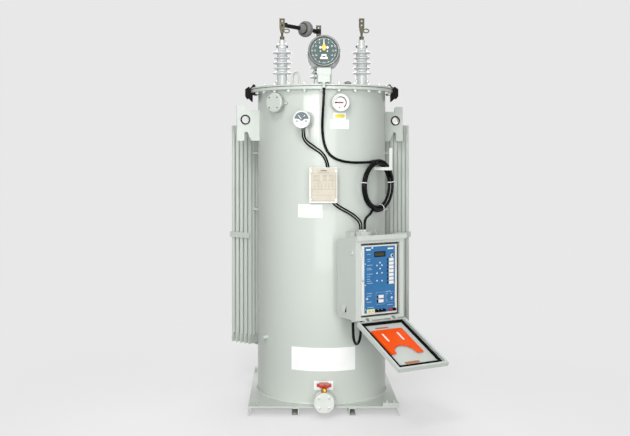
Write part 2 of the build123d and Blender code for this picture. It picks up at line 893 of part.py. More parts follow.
# Terminals: clamp cap, nut, stem, flat blade with two holes and a side loop
terminal_foot = cover_top + neck_top + seat_gap
nut_bottom = terminal_foot + cap_height
blade_top = nut_bottom + nut_height + stem_length + bulb_height + blade_height
for name, (bushing_x, bushing_y) in bushing_places.items():
    with BuildPart() as terminal:
        with BuildSketch(Plane(origin=(bushing_x, bushing_y, terminal_foot), z_dir=(0, -1, 0), x_dir=(1, 0, 0))):
            Polygon(
                (0, 0),
                (cap_foot_radius, 0),
                (cap_radius, cap_height * 0.45),
                (cap_radius, cap_height),
                (0, cap_height),
                align=None,
            )
        revolve(axis=Axis((bushing_x, bushing_y, 0), (0, 0, 1)))
        ear_origin = (bushing_x, bushing_y, terminal_foot + clamp_ear_rise)
        with BuildSketch(Plane(origin=ear_origin, z_dir=(0, -1, 0), x_dir=(1, 0, 0))):
            Rectangle(2 * clamp_ear_reach, 2 * clamp_ear_radius)
        extrude(amount=clamp_ear_radius, both=True)
        with BuildSketch(Plane.XY.offset(nut_bottom)):
            with Locations((bushing_x, bushing_y)):
                RegularPolygon(nut_radius, 6)
        extrude(amount=nut_height)
        with BuildSketch(Plane.XY.offset(nut_bottom + nut_height)):
            with Locations((bushing_x, bushing_y)):
                Circle(stem_radius)
        extrude(amount=stem_length + stem_radius)
        blade_plane = Plane(origin=(bushing_x, bushing_y, blade_top), z_dir=(0, -1, 0), x_dir=(1, 0, 0))
        with BuildSketch(blade_plane):
            Polygon(
                (-blade_width / 2, 0),
                (blade_width / 2, 0),
                (blade_width / 2, -blade_height),
                (bulb_width / 2, -blade_height - bulb_height / 2),
                (stem_radius, -blade_height - bulb_height),
                (-stem_radius, -blade_height - bulb_height),
                (-bulb_width / 2, -blade_height - bulb_height / 2),
                (-blade_width / 2, -blade_height),
                align=None,
            )
            with Locations((0, -pad_hole_edge), (0, -pad_hole_edge - pad_hole_spacing)):
                Circle(pad_hole_radius, mode=Mode.SUBTRACT)
        extrude(amount=blade_thickness / 2, both=True)
        with BuildSketch(blade_plane):
            with Locations((loop_offset, -blade_height - loop_drop)):
                Ellipse(loop_outer_x, loop_outer_z)
                Ellipse(loop_outer_x - loop_bar, loop_outer_z - loop_bar, mode=Mode.SUBTRACT)
        extrude(amount=loop_bar / 2, both=True)
    terminal.part.label = f"terminal_{name}"
    export_step(terminal.part, f"parts/terminal_{name}.step")

# Series arrester: its axis runs level from the left to the rear terminal
arrester_vector = Vector(*bushing_places["rear"]) - Vector(*bushing_places["left"])
arrester_span = arrester_vector.length
arrester_level = blade_top - arrester_drop
arrester_axis_start = Vector(*bushing_places["left"]) + Vector(0, 0, arrester_level)
arrester_direction = arrester_vector.normalized()


def on_arrester(distance):
    """Plane square to the arrester's axis, a given way from the left terminal."""
    return Plane(origin=arrester_axis_start + arrester_direction * distance, z_dir=arrester_direction)


arrester_nose_start = arrester_disc_start - arrester_cone_length
arrester_disc_end = arrester_disc_start + arrester_disc_length
with BuildPart() as arrester:
    with BuildSketch(on_arrester(arrester_nose_start)):
        Circle(arrester_nose_radius)
    with BuildSketch(on_arrester(arrester_disc_start)):
        Circle(arrester_cone_radius)
    loft()
    with BuildSketch(on_arrester(arrester_disc_start)):
        Circle(arrester_disc_radius)
    disc = extrude(amount=arrester_disc_length)
    fillet(disc.edges().filter_by(GeomType.CIRCLE), radius=arrester_disc_length / 5)
arrester.part.label = "arrester"
export_step(arrester.part, "parts/arrester.step")

with BuildPart() as arrester_leads:
    with BuildSketch(on_arrester(lead_start)):
        Circle(lead_radius)
    extrude(amount=arrester_nose_start - lead_start)
    with BuildSketch(on_arrester(arrester_disc_end)):
        Circle(lead_radius)
    extrude(amount=arrester_span - lead_start - arrester_disc_end)
    left_face = bushing_front_y + blade_thickness / 2 + seat_gap
    rear_face = bushing_rear_y - blade_thickness / 2 - seat_gap - tongue_thickness
    tongue_shift = (tongue_length - tongue_width) / 2
    left_tongue = (tongue_shift - bushing_spread, left_face)
    rear_tongue = (bushing_rear_x - tongue_shift, rear_face)
    for tongue_x, tongue_y in (left_tongue, rear_tongue):
        tongue_origin = (tongue_x, tongue_y, arrester_level)
        with BuildSketch(Plane(origin=tongue_origin, z_dir=(0, 1, 0), x_dir=(1, 0, 0))):
            Rectangle(tongue_length, tongue_width)
        extrude(amount=tongue_thickness)
arrester_leads.part.label = "arrester_leads"
export_step(arrester_leads.part, "parts/arrester_leads.step")

# Bolted hand-hole flange near the top of the tank
with BuildPart() as hand_hole:
    flange_pair = facing(hand_hole_azimuth, hand_hole_reach, hand_hole_height)
    with BuildSketch(flange_pair):
        Circle(hand_hole_radius)
    hand_hole_disc = extrude(amount=-hand_hole_cover)
    hand_hole_edges = hand_hole_disc.edges().filter_by(GeomType.CIRCLE)
    chamfer(hand_hole_edges.sort_by(Axis.Y)[0], hand_hole_cover - rim_break)
    with BuildSketch(flange_pair.offset(-hand_hole_cover)):
        Circle(hand_hole_radius - hand_hole_gasket)
    extrude(amount=-hand_hole_gasket)
    with BuildSketch(flange_pair.offset(-hand_hole_cover - hand_hole_gasket)):
        Circle(hand_hole_radius)
    extrude(amount=-hand_hole_flange)
    with BuildSketch(flange_pair.offset(-hand_hole_cover)):
        Circle(hand_hole_neck)
    extrude(amount=-hand_hole_out)
    cut_for_tank()
hand_hole.part.label = "hand_hole"
export_step(hand_hole.part, "parts/hand_hole.step")

# Two small bosses on the tank: a plug beside the hand hole and an earthing boss
with BuildPart() as tank_bosses:
    with BuildSketch(facing(plug_azimuth, tank_radius + plug_length, plug_height)):
        Circle(plug_radius)
    extrude(amount=-2 * plug_length)
    with BuildSketch(facing(earth_boss_azimuth, tank_radius + earth_boss_length, earth_boss_height)):
        Circle(earth_boss_radius)
    extrude(amount=-2 * earth_boss_length)
    cut_for_tank()
tank_bosses.part.label = "tank_bosses"
export_step(tank_bosses.part, "parts/tank_bosses.step")

# Round gauges, each a drum with a raised rim round its dial
with BuildPart() as level_gauge:
    level_face = facing(level_azimuth, level_reach, level_height)
    with BuildSketch(level_face):
        Circle(level_radius)
    level_drum = extrude(amount=-gauge_depth / 2)
    chamfer(level_drum.edges().filter_by(GeomType.CIRCLE), rim_break)
    with BuildSketch(level_face.offset(-gauge_depth / 2)):
        Circle(level_neck_radius)
    extrude(amount=-(level_reach - tank_radius))
    with BuildSketch(level_face):
        Circle(level_radius - gauge_rim)
    extrude(amount=-gauge_recess, mode=Mode.SUBTRACT)
    cut_for_tank()
level_gauge.part.label = "level_gauge"
export_step(level_gauge.part, "parts/level_gauge.step")

with BuildPart() as thermometer:
    thermo_face = facing(thermo_azimuth, thermo_reach, thermo_height)
    with BuildSketch(thermo_face):
        Circle(thermo_radius)
    thermo_drum = extrude(amount=-gauge_depth)
    chamfer(thermo_drum.edges().filter_by(GeomType.CIRCLE), rim_break)
    with BuildSketch(thermo_face.offset(-gauge_depth)):
        Circle(thermo_stem_radius)
    extrude(amount=-(thermo_reach - tank_radius))
    gland_reach = thermo_reach - gauge_depth / 2
    gland_top = thermo_height - thermo_radius + thermo_gland_radius
    gland_bottom = thermo_height - thermo_radius - thermo_gland_length
    for gland_across in thermo_gland_offsets:
        gland_place = facing(thermo_azimuth, gland_reach, gland_bottom, gland_across).origin
        with BuildSketch(Plane(origin=gland_place, z_dir=(0, 0, 1))):
            Circle(thermo_gland_radius)
        extrude(amount=gland_top - gland_bottom)
    with BuildSketch(thermo_face):
        Circle(thermo_radius - gauge_rim)
    extrude(amount=-gauge_recess, mode=Mode.SUBTRACT)
    cut_for_tank()
thermometer.part.label = "thermometer"
export_step(thermometer.part, "parts/thermometer.step")

# Position indicator: dial case, tapered neck and rear drum
with BuildPart() as indicator_case:
    dial_plane = facing(0, dial_front, dial_height)
    with BuildSketch(dial_plane):
        Circle(dial_radius)
    dial_drum = extrude(amount=-bezel_depth)
    dial_rim = dial_drum.edges().filter_by(GeomType.CIRCLE).sort_by(Axis.Y)[0]
    chamfer(dial_rim, rim_break)
    with BuildSketch(dial_plane.offset(-bezel_depth)):
        with Locations((0, -drum_drop)):
            Circle(drum_radius)
        drum_foot = upper_box_top + seat_gap - dial_height
        with Locations((0, drum_foot - drum_radius)):
            Rectangle(2 * drum_radius, 2 * drum_radius, mode=Mode.SUBTRACT)
    extrude(amount=-drum_depth)
    with BuildSketch(dial_plane):
        Circle(dial_face_radius)
    extrude(amount=-dial_recess, mode=Mode.SUBTRACT)
indicator_case.part.label = "indicator_case"
export_step(indicator_case.part, "parts/indicator_case.step")

# Terminal boxes under the dial, the cable nipple and the stand on the cover
with BuildPart() as indicator_stand:
    upper_box_bottom = upper_box_top - upper_box_height
    lower_box_bottom = cover_top + lower_box_lift
    with BuildSketch(facing(0, box_front, 0)):
        with Locations((0, (upper_box_top + upper_box_bottom) / 2)):
            Rectangle(neck_width, upper_box_height)
    extrude(amount=-upper_box_depth)
    with BuildSketch(facing(0, box_front - lower_box_setback, 0)):
        with Locations((0, (upper_box_bottom + lower_box_bottom) / 2)):
            Rectangle(lower_box_width, upper_box_bottom - lower_box_bottom)
    extrude(amount=-lower_box_depth)
    with BuildSketch(Plane.XY.offset(lower_box_bottom - nipple_height)):
        with Locations((0, -nipple_reach)):
            Circle(nipple_radius)
    extrude(amount=nipple_height)
    stand_front = box_front - upper_box_depth
    with BuildSketch(facing(0, stand_front, 0)):
        with Locations((0, (upper_box_top + cover_top) / 2)):
            Rectangle(stand_width, upper_box_top - cover_top)
    extrude(amount=-stand_thickness)
    with BuildSketch(Plane.XY.offset(cover_top)):
        with Locations((0, -stand_front + stand_foot / 2)):
            Rectangle(stand_width, stand_foot)
    extrude(amount=stand_thickness)
indicator_stand.part.label = "indicator_stand"
export_step(indicator_stand.part, "parts/indicator_stand.step")

# Drain valve: pipe, two flanges, round body and bonnet neck
drain_axis = facing(0, 0, drain_height)
flange_front = drain_flange_back + drain_flange_thickness
body_front = flange_front + drain_body_length
valve_y = -(flange_front + drain_body_length / 2)
with BuildPart() as drain_valve:
    with BuildSketch(drain_axis):
        Circle(drain_pipe_radius)
    extrude(amount=drain_flange_back)
    with BuildSketch(drain_axis.offset(drain_flange_back)):
        Circle(drain_flange_radius)
    extrude(amount=drain_flange_thickness)
    with BuildSketch(drain_axis.offset(flange_front)):
        Circle(drain_body_radius)
    extrude(amount=drain_body_length)
    with BuildSketch(drain_axis.offset(body_front)):
        Circle(drain_flange_radius)
    extrude(amount=drain_flange_thickness)
    with BuildSketch(Plane.XY.offset(drain_height)):
        with Locations((0, valve_y)):
            Circle(drain_neck_radius)
    extrude(amount=drain_bonnet_top - drain_height)
    cut_for_tank()
drain_valve.part.label = "drain_valve"
export_step(drain_valve.part, "parts/drain_valve.step")

hex_top = drain_bonnet_top + bonnet_hex_height
with BuildPart() as drain_bonnet:
    with BuildSketch(Plane.XY.offset(drain_bonnet_top)):
        with Locations((0, valve_y)):
            RegularPolygon(bonnet_hex_radius, 6)
    extrude(amount=bonnet_hex_height)
    with BuildSketch(Plane.XY.offset(hex_top)):
        with Locations((0, valve_y)):
            Circle(stem_shaft_radius)
    extrude(amount=wheel_hub_height + stem_shaft_radius)
drain_bonnet.part.label = "drain_bonnet"
export_step(drain_bonnet.part, "parts/drain_bonnet.step")

# Lobed handwheel that turns on the valve stem
with BuildPart() as drain_handwheel:
    with BuildSketch(Plane.XY.offset(hex_top + seat_gap)):
        with Locations((0, valve_y)):
            Circle(wheel_hub_radius)
    extrude(amount=wheel_hub_height)
    with BuildSketch(Plane.XY.offset(hex_top + seat_gap + wheel_hub_height - wheel_height)):
        with Locations((0, valve_y)):
            Circle(wheel_radius - wheel_lobe_radius)
            with PolarLocations(wheel_radius - wheel_lobe_radius, wheel_lobes):
                Circle(wheel_lobe_radius)
    extrude(amount=wheel_height)
    with BuildSketch(Plane.XY.offset(hex_top)):
        with Locations((0, valve_y)):
            Circle(stem_shaft_radius + running_gap)
    extrude(amount=2 * wheel_hub_height, mode=Mode.SUBTRACT)
drain_handwheel.part.label = "drain_handwheel"
export_step(drain_handwheel.part, "parts/drain_handwheel.step")

# Nameplate on four standoffs, far enough out for two cables to pass behind
with BuildPart() as nameplate:
    plate_face = facing(0, nameplate_front, nameplate_bottom + nameplate_height / 2, nameplate_x)
    with BuildSketch(plate_face):
        RectangleRounded(nameplate_width, nameplate_height, 3)
    extrude(amount=-nameplate_thickness)
    with BuildSketch(plate_face.offset(-nameplate_thickness)):
        with GridLocations(2 * nameplate_post_x, 2 * nameplate_post_z, 2, 2):
            Circle(nameplate_post_radius)
    extrude(amount=-nameplate_front / 2)
    cut_for_tank()
nameplate.part.label = "nameplate"
export_step(nameplate.part, "parts/nameplate.step")

# Cable hanger: a flat bar out from the tank with its end turned up
coil_turn = radians(coil_azimuth)
coil_middle = facing(coil_azimuth, coil_reach, coil_height).origin
hanger_y = coil_middle.Y + hanger_behind
hanger_right = coil_middle.X + hanger_beyond
hanger_top = coil_height + hanger_rise
hanger_back = hanger_y + hanger_thickness / 2
coil_side = (hanger_back - coil_middle.Y + cos(coil_turn) * coil_thickness / 2) / sin(coil_turn)
hanger_leg_top = coil_height + sqrt(coil_inner**2 - coil_side**2) - seat_gap
with BuildPart() as cable_hanger:
    with BuildSketch(Plane.XZ.offset(-hanger_y - hanger_thickness / 2)):
        with Locations((hanger_right / 2, hanger_leg_top - hanger_width / 2)):
            Rectangle(hanger_right, hanger_width)
        upright = hanger_top - hanger_leg_top + hanger_width
        with Locations((hanger_right - hanger_width / 2, hanger_top - upright / 2)):
            Rectangle(hanger_width, upright)
    extrude(amount=hanger_thickness)
    cut_for_tank()
cable_hanger.part.label = "cable_hanger"
export_step(cable_hanger.part, "parts/cable_hanger.step")

# Control cabinet: folded steel box with a sloping top and a frame round its front
roof_slope = (cabinet_front_top - cabinet_rear_top) / cabinet_depth


def roof_at(reach):
    """Height of the cabinet's top surface at a distance from the tank axis."""
    return cabinet_rear_top + (reach - cabinet_rear) * roof_slope


with BuildPart() as cabinet_body:
    with BuildSketch(side_view(cabinet_azimuth, cabinet_half)):
        Polygon(
            (cabinet_rear, cabinet_bottom),
            (cabinet_front, cabinet_bottom),
            (cabinet_front, cabinet_front_top),
            (cabinet_rear, cabinet_rear_top),
            align=None,
        )
    extrude(amount=2 * cabinet_half)
    with BuildSketch(side_view(cabinet_azimuth, cabinet_half - cabinet_wall)):
        Polygon(
            (cabinet_rear + cabinet_wall, cabinet_bottom + cabinet_wall),
            (cabinet_front - cabinet_wall, cabinet_bottom + cabinet_wall),
            (cabinet_front - cabinet_wall, cabinet_front_top - cabinet_wall),
            (cabinet_rear + cabinet_wall, cabinet_rear_top - cabinet_wall),
            align=None,
        )
    extrude(amount=2 * (cabinet_half - cabinet_wall), mode=Mode.SUBTRACT)
    opening_middle = ((opening_left + opening_right) / 2, (opening_bottom + opening_top) / 2)
    opening_width = opening_right - opening_left
    opening_height = opening_top - opening_bottom
    with BuildSketch(facing(cabinet_azimuth, cabinet_front, 0)):
        with Locations(opening_middle):
            Rectangle(opening_width + 2 * cabinet_wall, opening_height + 2 * cabinet_wall)
    extrude(amount=-frame_lip)
    with BuildSketch(facing(cabinet_azimuth, cabinet_front, 0)):
        with Locations(opening_middle):
            Rectangle(opening_width, opening_height)
    extrude(amount=-2 * frame_lip, mode=Mode.SUBTRACT)
cabinet_body.part.label = "cabinet_body"
export_step(cabinet_body.part, "parts/cabinet_body.step")

# Sloping roof sheet with a drip edge turned down in front
with BuildPart() as cabinet_roof:
    with BuildSketch(side_view(cabinet_azimuth, cabinet_half + roof_overhang)):
        roof_front_top = roof_at(roof_front) + roof_thickness
        Polygon(
            (cabinet_rear, cabinet_rear_top),
            (cabinet_rear, cabinet_rear_top + roof_thickness),
            (roof_front, roof_front_top),
            (roof_front, roof_front_top - fascia_height),
            (roof_front - roof_thickness, roof_front_top - fascia_height),
            (roof_front - roof_thickness, roof_at(roof_front - roof_thickness)),
            align=None,
        )
    extrude(amount=2 * cabinet_half + roof_overhang)
cabinet_roof.part.label = "cabinet_roof"
export_step(cabinet_roof.part, "parts/cabinet_roof.step")

# Channels that carry the cabinet on the tank, and a stiffening arm at its right edge
with BuildPart() as cabinet_brackets:
    bracket_front = cabinet_rear - seat_gap
    with BuildSketch(plan(cabinet_azimuth, bracket_bottom)):
        for bracket_y in (-bracket_offset, bracket_offset):
            with Locations((bracket_front / 2, bracket_y)):
                Rectangle(bracket_front, bracket_width)
                Rectangle(bracket_front, bracket_width - 2 * bracket_wall, mode=Mode.SUBTRACT)
            with Locations((bracket_front - bracket_wall / 2, bracket_y)):
                Rectangle(bracket_wall, bracket_width)
    extrude(amount=bracket_top - bracket_bottom)
    with BuildSketch(side_view(cabinet_azimuth, arm_offset)):
        Polygon(
            (0, cabinet_rear_top),
            (0, cabinet_rear_top - arm_height),
            (bracket_front, cabinet_rear_top - 2 * arm_height),
            (bracket_front, cabinet_rear_top - arm_height),
            (tank_radius - tank_wall, cabinet_rear_top + arm_height),
            align=None,
        )
    extrude(amount=arm_thickness)
    cut_for_tank()
cabinet_brackets.part.label = "cabinet_brackets"
export_step(cabinet_brackets.part, "parts/cabinet_brackets.step")

# Cable entry box on the roof with three glands
gland_box_rear = cabinet_front - gland_box_back - gland_box_depth
gland_box_front = cabinet_front - gland_box_back
roof_lift = roof_thickness + seat_gap
with BuildPart() as gland_box:
    with BuildSketch(side_view(cabinet_azimuth, gland_box_right)):
        Polygon(
            (gland_box_rear, roof_at(gland_box_rear) + roof_lift),
            (gland_box_front, roof_at(gland_box_front) + roof_lift),
            (gland_box_front, gland_box_top),
            (gland_box_rear, gland_box_top),
            align=None,
        )
    extrude(amount=gland_box_right - gland_box_left)
    gland_reach = cabinet_front - gland_line
    for gland_across in small_gland_places:
        gland_place = facing(cabinet_azimuth, gland_reach, gland_box_top, gland_across)
        with BuildSketch(Plane(origin=gland_place.origin, z_dir=(0, 0, 1))):
            Circle(small_gland_radius)
        extrude(amount=gland_length)
    large_gland = facing(cabinet_azimuth, gland_reach, gland_box_top, large_gland_place)
    with BuildSketch(Plane(origin=large_gland.origin, z_dir=(0, 0, 1))):
        Circle(large_gland_radius)
    extrude(amount=gland_length)
gland_box.part.label = "gland_box"
export_step(gland_box.part, "parts/gland_box.step")

# Vent hood and padlock hasp on the cabinet's left side, and two glands under its floor
with BuildPart() as cabinet_fittings:
    side_face = -cabinet_half - seat_gap
    hood_reach_line = cabinet_front - hood_back
    hood_plan = facing(cabinet_azimuth, hood_reach_line, hood_bottom, side_face)
    with BuildSketch(Plane(origin=hood_plan.origin, x_dir=hood_plan.x_dir, z_dir=hood_plan.z_dir)):
        Polygon((0, 0), (-hood_reach, 0), (0, hood_height), align=None)
    extrude(amount=hood_length)
    hasp_place = facing(cabinet_azimuth, cabinet_front - hasp_back, hasp_height, side_face)
    with BuildSketch(Plane(origin=hasp_place.origin, x_dir=hasp_place.z_dir, z_dir=hasp_place.x_dir * -1)):
        Circle(hasp_radius)
        Circle(hasp_radius / 2, mode=Mode.SUBTRACT)
    extrude(amount=hasp_thickness)
    for gland_back, gland_across in zip(loop_gland_backs, loop_gland_across):
        gland_foot = cabinet_bottom - seat_gap - loop_gland_length
        gland_place = facing(cabinet_azimuth, cabinet_front - gland_back, gland_foot, gland_across)
        with BuildSketch(Plane(origin=gland_place.origin, z_dir=(0, 0, 1))):
            Circle(loop_gland_radius)
        extrude(amount=loop_gland_length)
cabinet_fittings.part.label = "cabinet_fittings"
export_step(cabinet_fittings.part, "parts/cabinet_fittings.step")

# Inner control panel: a shallow pan on two barrels at its left edge
with BuildPart() as control_panel:
    control_plane = facing(cabinet_azimuth, control_front, 0)
    control_middle = ((control_left + control_right) / 2, (control_bottom + control_top) / 2)
    control_width = control_right - control_left
    control_height = control_top - control_bottom
    with BuildSketch(control_plane):
        with Locations(control_middle):
            Rectangle(control_width, control_height)
    extrude(amount=-control_depth)
    with BuildSketch(control_plane.offset(-control_sheet)):
        with Locations(control_middle):
            Rectangle(control_width - 2 * control_sheet, control_height - 2 * control_sheet)
    extrude(amount=-control_depth, mode=Mode.SUBTRACT)
    barrel_x = opening_left + seat_gap + barrel_radius
    for barrel_height in barrel_heights:
        barrel = facing(cabinet_azimuth, cabinet_front - cabinet_wall / 2, 0, barrel_x)
        barrel_foot = barrel.origin + Vector(0, 0, barrel_height - barrel_length / 2)
        with BuildSketch(Plane(origin=barrel_foot, z_dir=(0, 0, 1))):
            Circle(barrel_radius)
        extrude(amount=barrel_length)
control_panel.part.label = "control_panel"
export_step(control_panel.part, "parts/control_panel.step")

with BuildPart() as faceplate:
    with BuildSketch(control_plane):
        with Locations(((faceplate_left + faceplate_right) / 2, (faceplate_bottom + faceplate_top) / 2)):
            Rectangle(faceplate_right - faceplate_left, faceplate_top - faceplate_bottom)
    extrude(amount=faceplate_thickness)
faceplate.part.label = "faceplate"
export_step(faceplate.part, "parts/faceplate.step")

# Switches, binding posts, receptacle and knob that stand out of the panel
with BuildPart() as panel_controls:
    controls_plane = control_plane.offset(faceplate_thickness)
    with BuildSketch(controls_plane):
        for index in range(switch_count):
            with Locations((switch_x, switch_top - index * switch_pitch)):
                Rectangle(switch_width, switch_height)
    extrude(amount=switch_proud)
    with BuildSketch(controls_plane):
        with Locations(*[(place, post_height) for place in post_places]):
            RegularPolygon(post_radius, 8)
    extrude(amount=post_length)
    with BuildSketch(controls_plane):
        with Locations((receptacle_x, post_height)):
            RectangleRounded(receptacle_width, receptacle_height, 3)
    extrude(amount=receptacle_proud)
    with BuildSketch(control_plane):
        with Locations((knob_x, knob_height)):
            Circle(knob_radius)
    extrude(amount=knob_length)
panel_controls.part.label = "panel_controls"
export_step(panel_controls.part, "parts/panel_controls.step")

# Fixed hinge leaves: plate on the cabinet's front, a knuckle and the pin
hinge_line = facing(cabinet_azimuth, hinge_out, hinge_height)
with BuildPart() as hinge_leaves:
    for hinge_x in (-hinge_spread, hinge_spread):
        knuckle_plane = facing(cabinet_azimuth, hinge_out, hinge_height, hinge_x - fixed_knuckle / 2)
        with BuildSketch(Plane(origin=knuckle_plane.origin, z_dir=knuckle_plane.x_dir)):
            Circle(knuckle_radius)
        extrude(amount=fixed_knuckle)
        pin_length = fixed_knuckle + 2 * (door_knuckle + knuckle_gap)
        pin_plane = facing(cabinet_azimuth, hinge_out, hinge_height, hinge_x - pin_length / 2)
        with BuildSketch(Plane(origin=pin_plane.origin, z_dir=pin_plane.x_dir)):
            Circle(pin_radius)
        extrude(amount=pin_length)
        with BuildSketch(facing(cabinet_azimuth, cabinet_front + seat_gap, hinge_height, hinge_x)):
            with Locations((0, leaf_lift)):
                Rectangle(fixed_knuckle, leaf_height)
        extrude(amount=leaf_thickness + leaf_wrap)
hinge_leaves.part.label = "hinge_leaves"
export_step(hinge_leaves.part, "parts/hinge_leaves.step")

# Door, drawn in its open position: x to the right, y back towards the hinge, z to its inner side
swing = radians(door_open)
door_out = hinge_line.z_dir * sin(swing) + Vector(0, 0, cos(swing))
door_inward = hinge_line.z_dir * -cos(swing) + Vector(0, 0, sin(swing))
door_plane = Plane(origin=hinge_line.origin, x_dir=hinge_line.x_dir, z_dir=door_inward)
door_back = door_plane.offset(door_inner_face - door_depth)
door_floor = door_back.offset(door_sheet)
door_middle = -(door_start + door_length / 2)
with BuildPart() as door_panel:
    with BuildSketch(door_back):
        with Locations((0, door_middle)):
            Rectangle(2 * cabinet_half, door_length)
    extrude(amount=door_depth)
    with BuildSketch(door_floor):
        with Locations((0, door_middle)):
            Rectangle(2 * (cabinet_half - door_sheet), door_length - 2 * door_sheet)
    extrude(amount=door_depth - 2 * door_sheet, mode=Mode.SUBTRACT)
    lip_end = door_start + door_length - door_lip
    with BuildSketch(door_plane.offset(door_inner_face)):
        with Locations((0, -(door_start + door_sheet + lip_end) / 2)):
            Rectangle(2 * (cabinet_half - door_lip), lip_end - door_start - door_sheet)
    extrude(amount=-2 * door_sheet, mode=Mode.SUBTRACT)
    catch_along = door_start + door_length - catch_end_inset
    catch_middle = door_inner_face - door_depth / 2
    catch_foot = door_plane.from_local_coords(Vector(cabinet_half, -catch_along, catch_middle))
    with BuildSketch(Plane(origin=catch_foot, z_dir=door_plane.x_dir)):
        Circle(catch_radius)
    extrude(amount=catch_proud)
    knuckle_step = (fixed_knuckle + door_knuckle) / 2 + knuckle_gap
    knuckle_places = [
        hinge_x + sign * knuckle_step for hinge_x in (-hinge_spread, hinge_spread) for sign in (-1, 1)
    ]
    for knuckle_x in knuckle_places:
        start = facing(cabinet_azimuth, hinge_out, hinge_height, knuckle_x - door_knuckle / 2)
        with BuildSketch(Plane(origin=start.origin, z_dir=start.x_dir)):
            Circle(knuckle_radius)
        extrude(amount=door_knuckle)
        with BuildSketch(door_plane.offset(-knuckle_radius)):
            with Locations((knuckle_x, -(door_start + door_sheet) / 2)):
                Rectangle(door_knuckle, door_start + door_sheet)
        extrude(amount=knuckle_radius)
    for knuckle_x in knuckle_places:
        start = facing(cabinet_azimuth, hinge_out, hinge_height, knuckle_x - door_knuckle / 2)
        with BuildSketch(Plane(origin=start.origin, z_dir=start.x_dir)):
            Circle(pin_radius + running_gap)
        extrude(amount=door_knuckle, mode=Mode.SUBTRACT)
door_panel.part.label = "door_panel"
export_step(door_panel.part, "parts/door_panel.step")

with BuildPart() as door_seal:
    with BuildSketch(door_floor):
        with Locations((0, -(seal_start + seal_end) / 2)):
            Rectangle(2 * seal_half_width, seal_end - seal_start)
            Rectangle(
                2 * (seal_half_width - seal_width),
                seal_end - seal_start - 2 * seal_width,
                mode=Mode.SUBTRACT,
            )
    extrude(amount=seal_height)
door_seal.part.label = "door_seal"
export_step(door_seal.part, "parts/door_seal.step")

# Document pocket on the door: a sheet with two slots and an arched open end
with BuildPart() as document_pocket:
    with BuildSketch(door_floor.offset(seat_gap)):
        with BuildLine():
            Polyline(
                (pocket_left + pocket_foot, -pocket_left_end),
                (pocket_left, -pocket_left_end),
                (pocket_left, -pocket_top),
                (pocket_right, -pocket_top),
                (pocket_right, -pocket_right_end),
                (pocket_right - pocket_tip_width, -pocket_right_end),
            )
            ThreePointArc(
                (pocket_right - pocket_tip_width, -pocket_right_end),
                ((pocket_left + pocket_right) / 2, -pocket_arch),
                (pocket_left + pocket_foot, -pocket_left_end),
            )
        make_face()
    extrude(amount=pocket_proud)
    with BuildSketch(door_floor):
        with Locations(((pocket_left + pocket_right) / 2, -(pocket_top + pocket_sheet + pocket_right_end / 2))):
            Rectangle(pocket_right - pocket_left - 2 * pocket_sheet, pocket_right_end)
    extrude(amount=seat_gap + pocket_proud - pocket_sheet, mode=Mode.SUBTRACT)
    with BuildSketch(door_floor):
        with Locations(*[(place, -slot_middle) for place in slot_places]):
            SlotOverall(slot_length, slot_width, rotation=90)
    extrude(amount=2 * pocket_proud, mode=Mode.SUBTRACT)
document_pocket.part.label = "document_pocket"
export_step(document_pocket.part, "parts/document_pocket.step")

# Free cables. Each route is a list of points chosen along the cable's middle.
indicator_route = [
    (0, -390, 1622.3),
    (0, -390, 1588),
    (-4, -386, 1520),
    (-8, -364, 1442),
    (-4, -351, 1374),
    (9, -349, 1324),
    (30, -348.5, 1291),
    (60, -343.5, 1270),
    (98, -335, 1258),
    (143, -318.5, 1252),
    (203, -294, 1252),
    (252, -260.5, 1256),
]
tail_route = [
    (251.5, -263, 1013),
    (243, -276, 1000),
    (235, -293, 991),
    (222, -318, 984),
    (212, -340, 977),
    (204.5, -359, 964),
    (202.7, -367.8, 945),
    (202.7, -367.8, 922),
]
gauge_route_1 = [
    (-106, -403.3, 1404),
    (-106, -403.3, 1388),
    (-103.5, -396, 1374),
    (-94, -378, 1356),
    (-74, -358.5, 1336),
    (-44, -348.5, 1317),
    (-16, -347, 1298),
    (4, -347, 1274),
    (14, -346.5, 1243),
    (18, -346, 1200),
    (19.5, -345.5, 1150),
    (23, -345.5, 1101),
    (34, -345, 1064),
    (57, -342, 1037),
    (88, -335.5, 1017),
    (121, -330, 1000),
    (149, -338, 981),
    (168, -358, 964),
    (175.5, -376, 951),
    (177.4, -381.9, 936.5),
    (177.4, -381.9, 922),
]
gauge_route_2 = [
    (-95.4, -406.2, 1404),
    (-95.4, -406.2, 1389),
    (-93, -399, 1375),
    (-84, -381, 1361),
    (-63, -359.5, 1346),
    (-36, -349.5, 1327),
    (-9, -347, 1308),
    (12, -347, 1281),
    (24, -346, 1247),
    (29, -345.5, 1201),
    (30.5, -345, 1151),
    (34, -344.5, 1104),
    (44, -343.5, 1071),
    (65, -340.5, 1046),
    (95, -333.5, 1027),
    (126, -328.5, 1010),
    (155, -334, 992),
    (176, -350, 972),
    (186.3, -370, 956),
    (187.9, -376.1, 939),
    (187.9, -376.1, 922),
]
loop_route = [
    (137, -490, 487.7),
    (137, -490, 452),
    (139, -485, 411),
    (147, -467, 380),
    (159, -444, 369),
    (171, -421, 376),
    (179.5, -405, 405),
    (182, -400, 450),
    (182, -400, 487.7),
]
cable_runs = [
    ("indicator_cable", indicator_route, indicator_cable_radius),
    ("indicator_cable_tail", tail_route, indicator_cable_radius),
    ("gauge_cable_1", gauge_route_1, gauge_cable_radius),
    ("gauge_cable_2", gauge_route_2, gauge_cable_radius),
    ("cabinet_loop", loop_route, indicator_cable_radius),
]
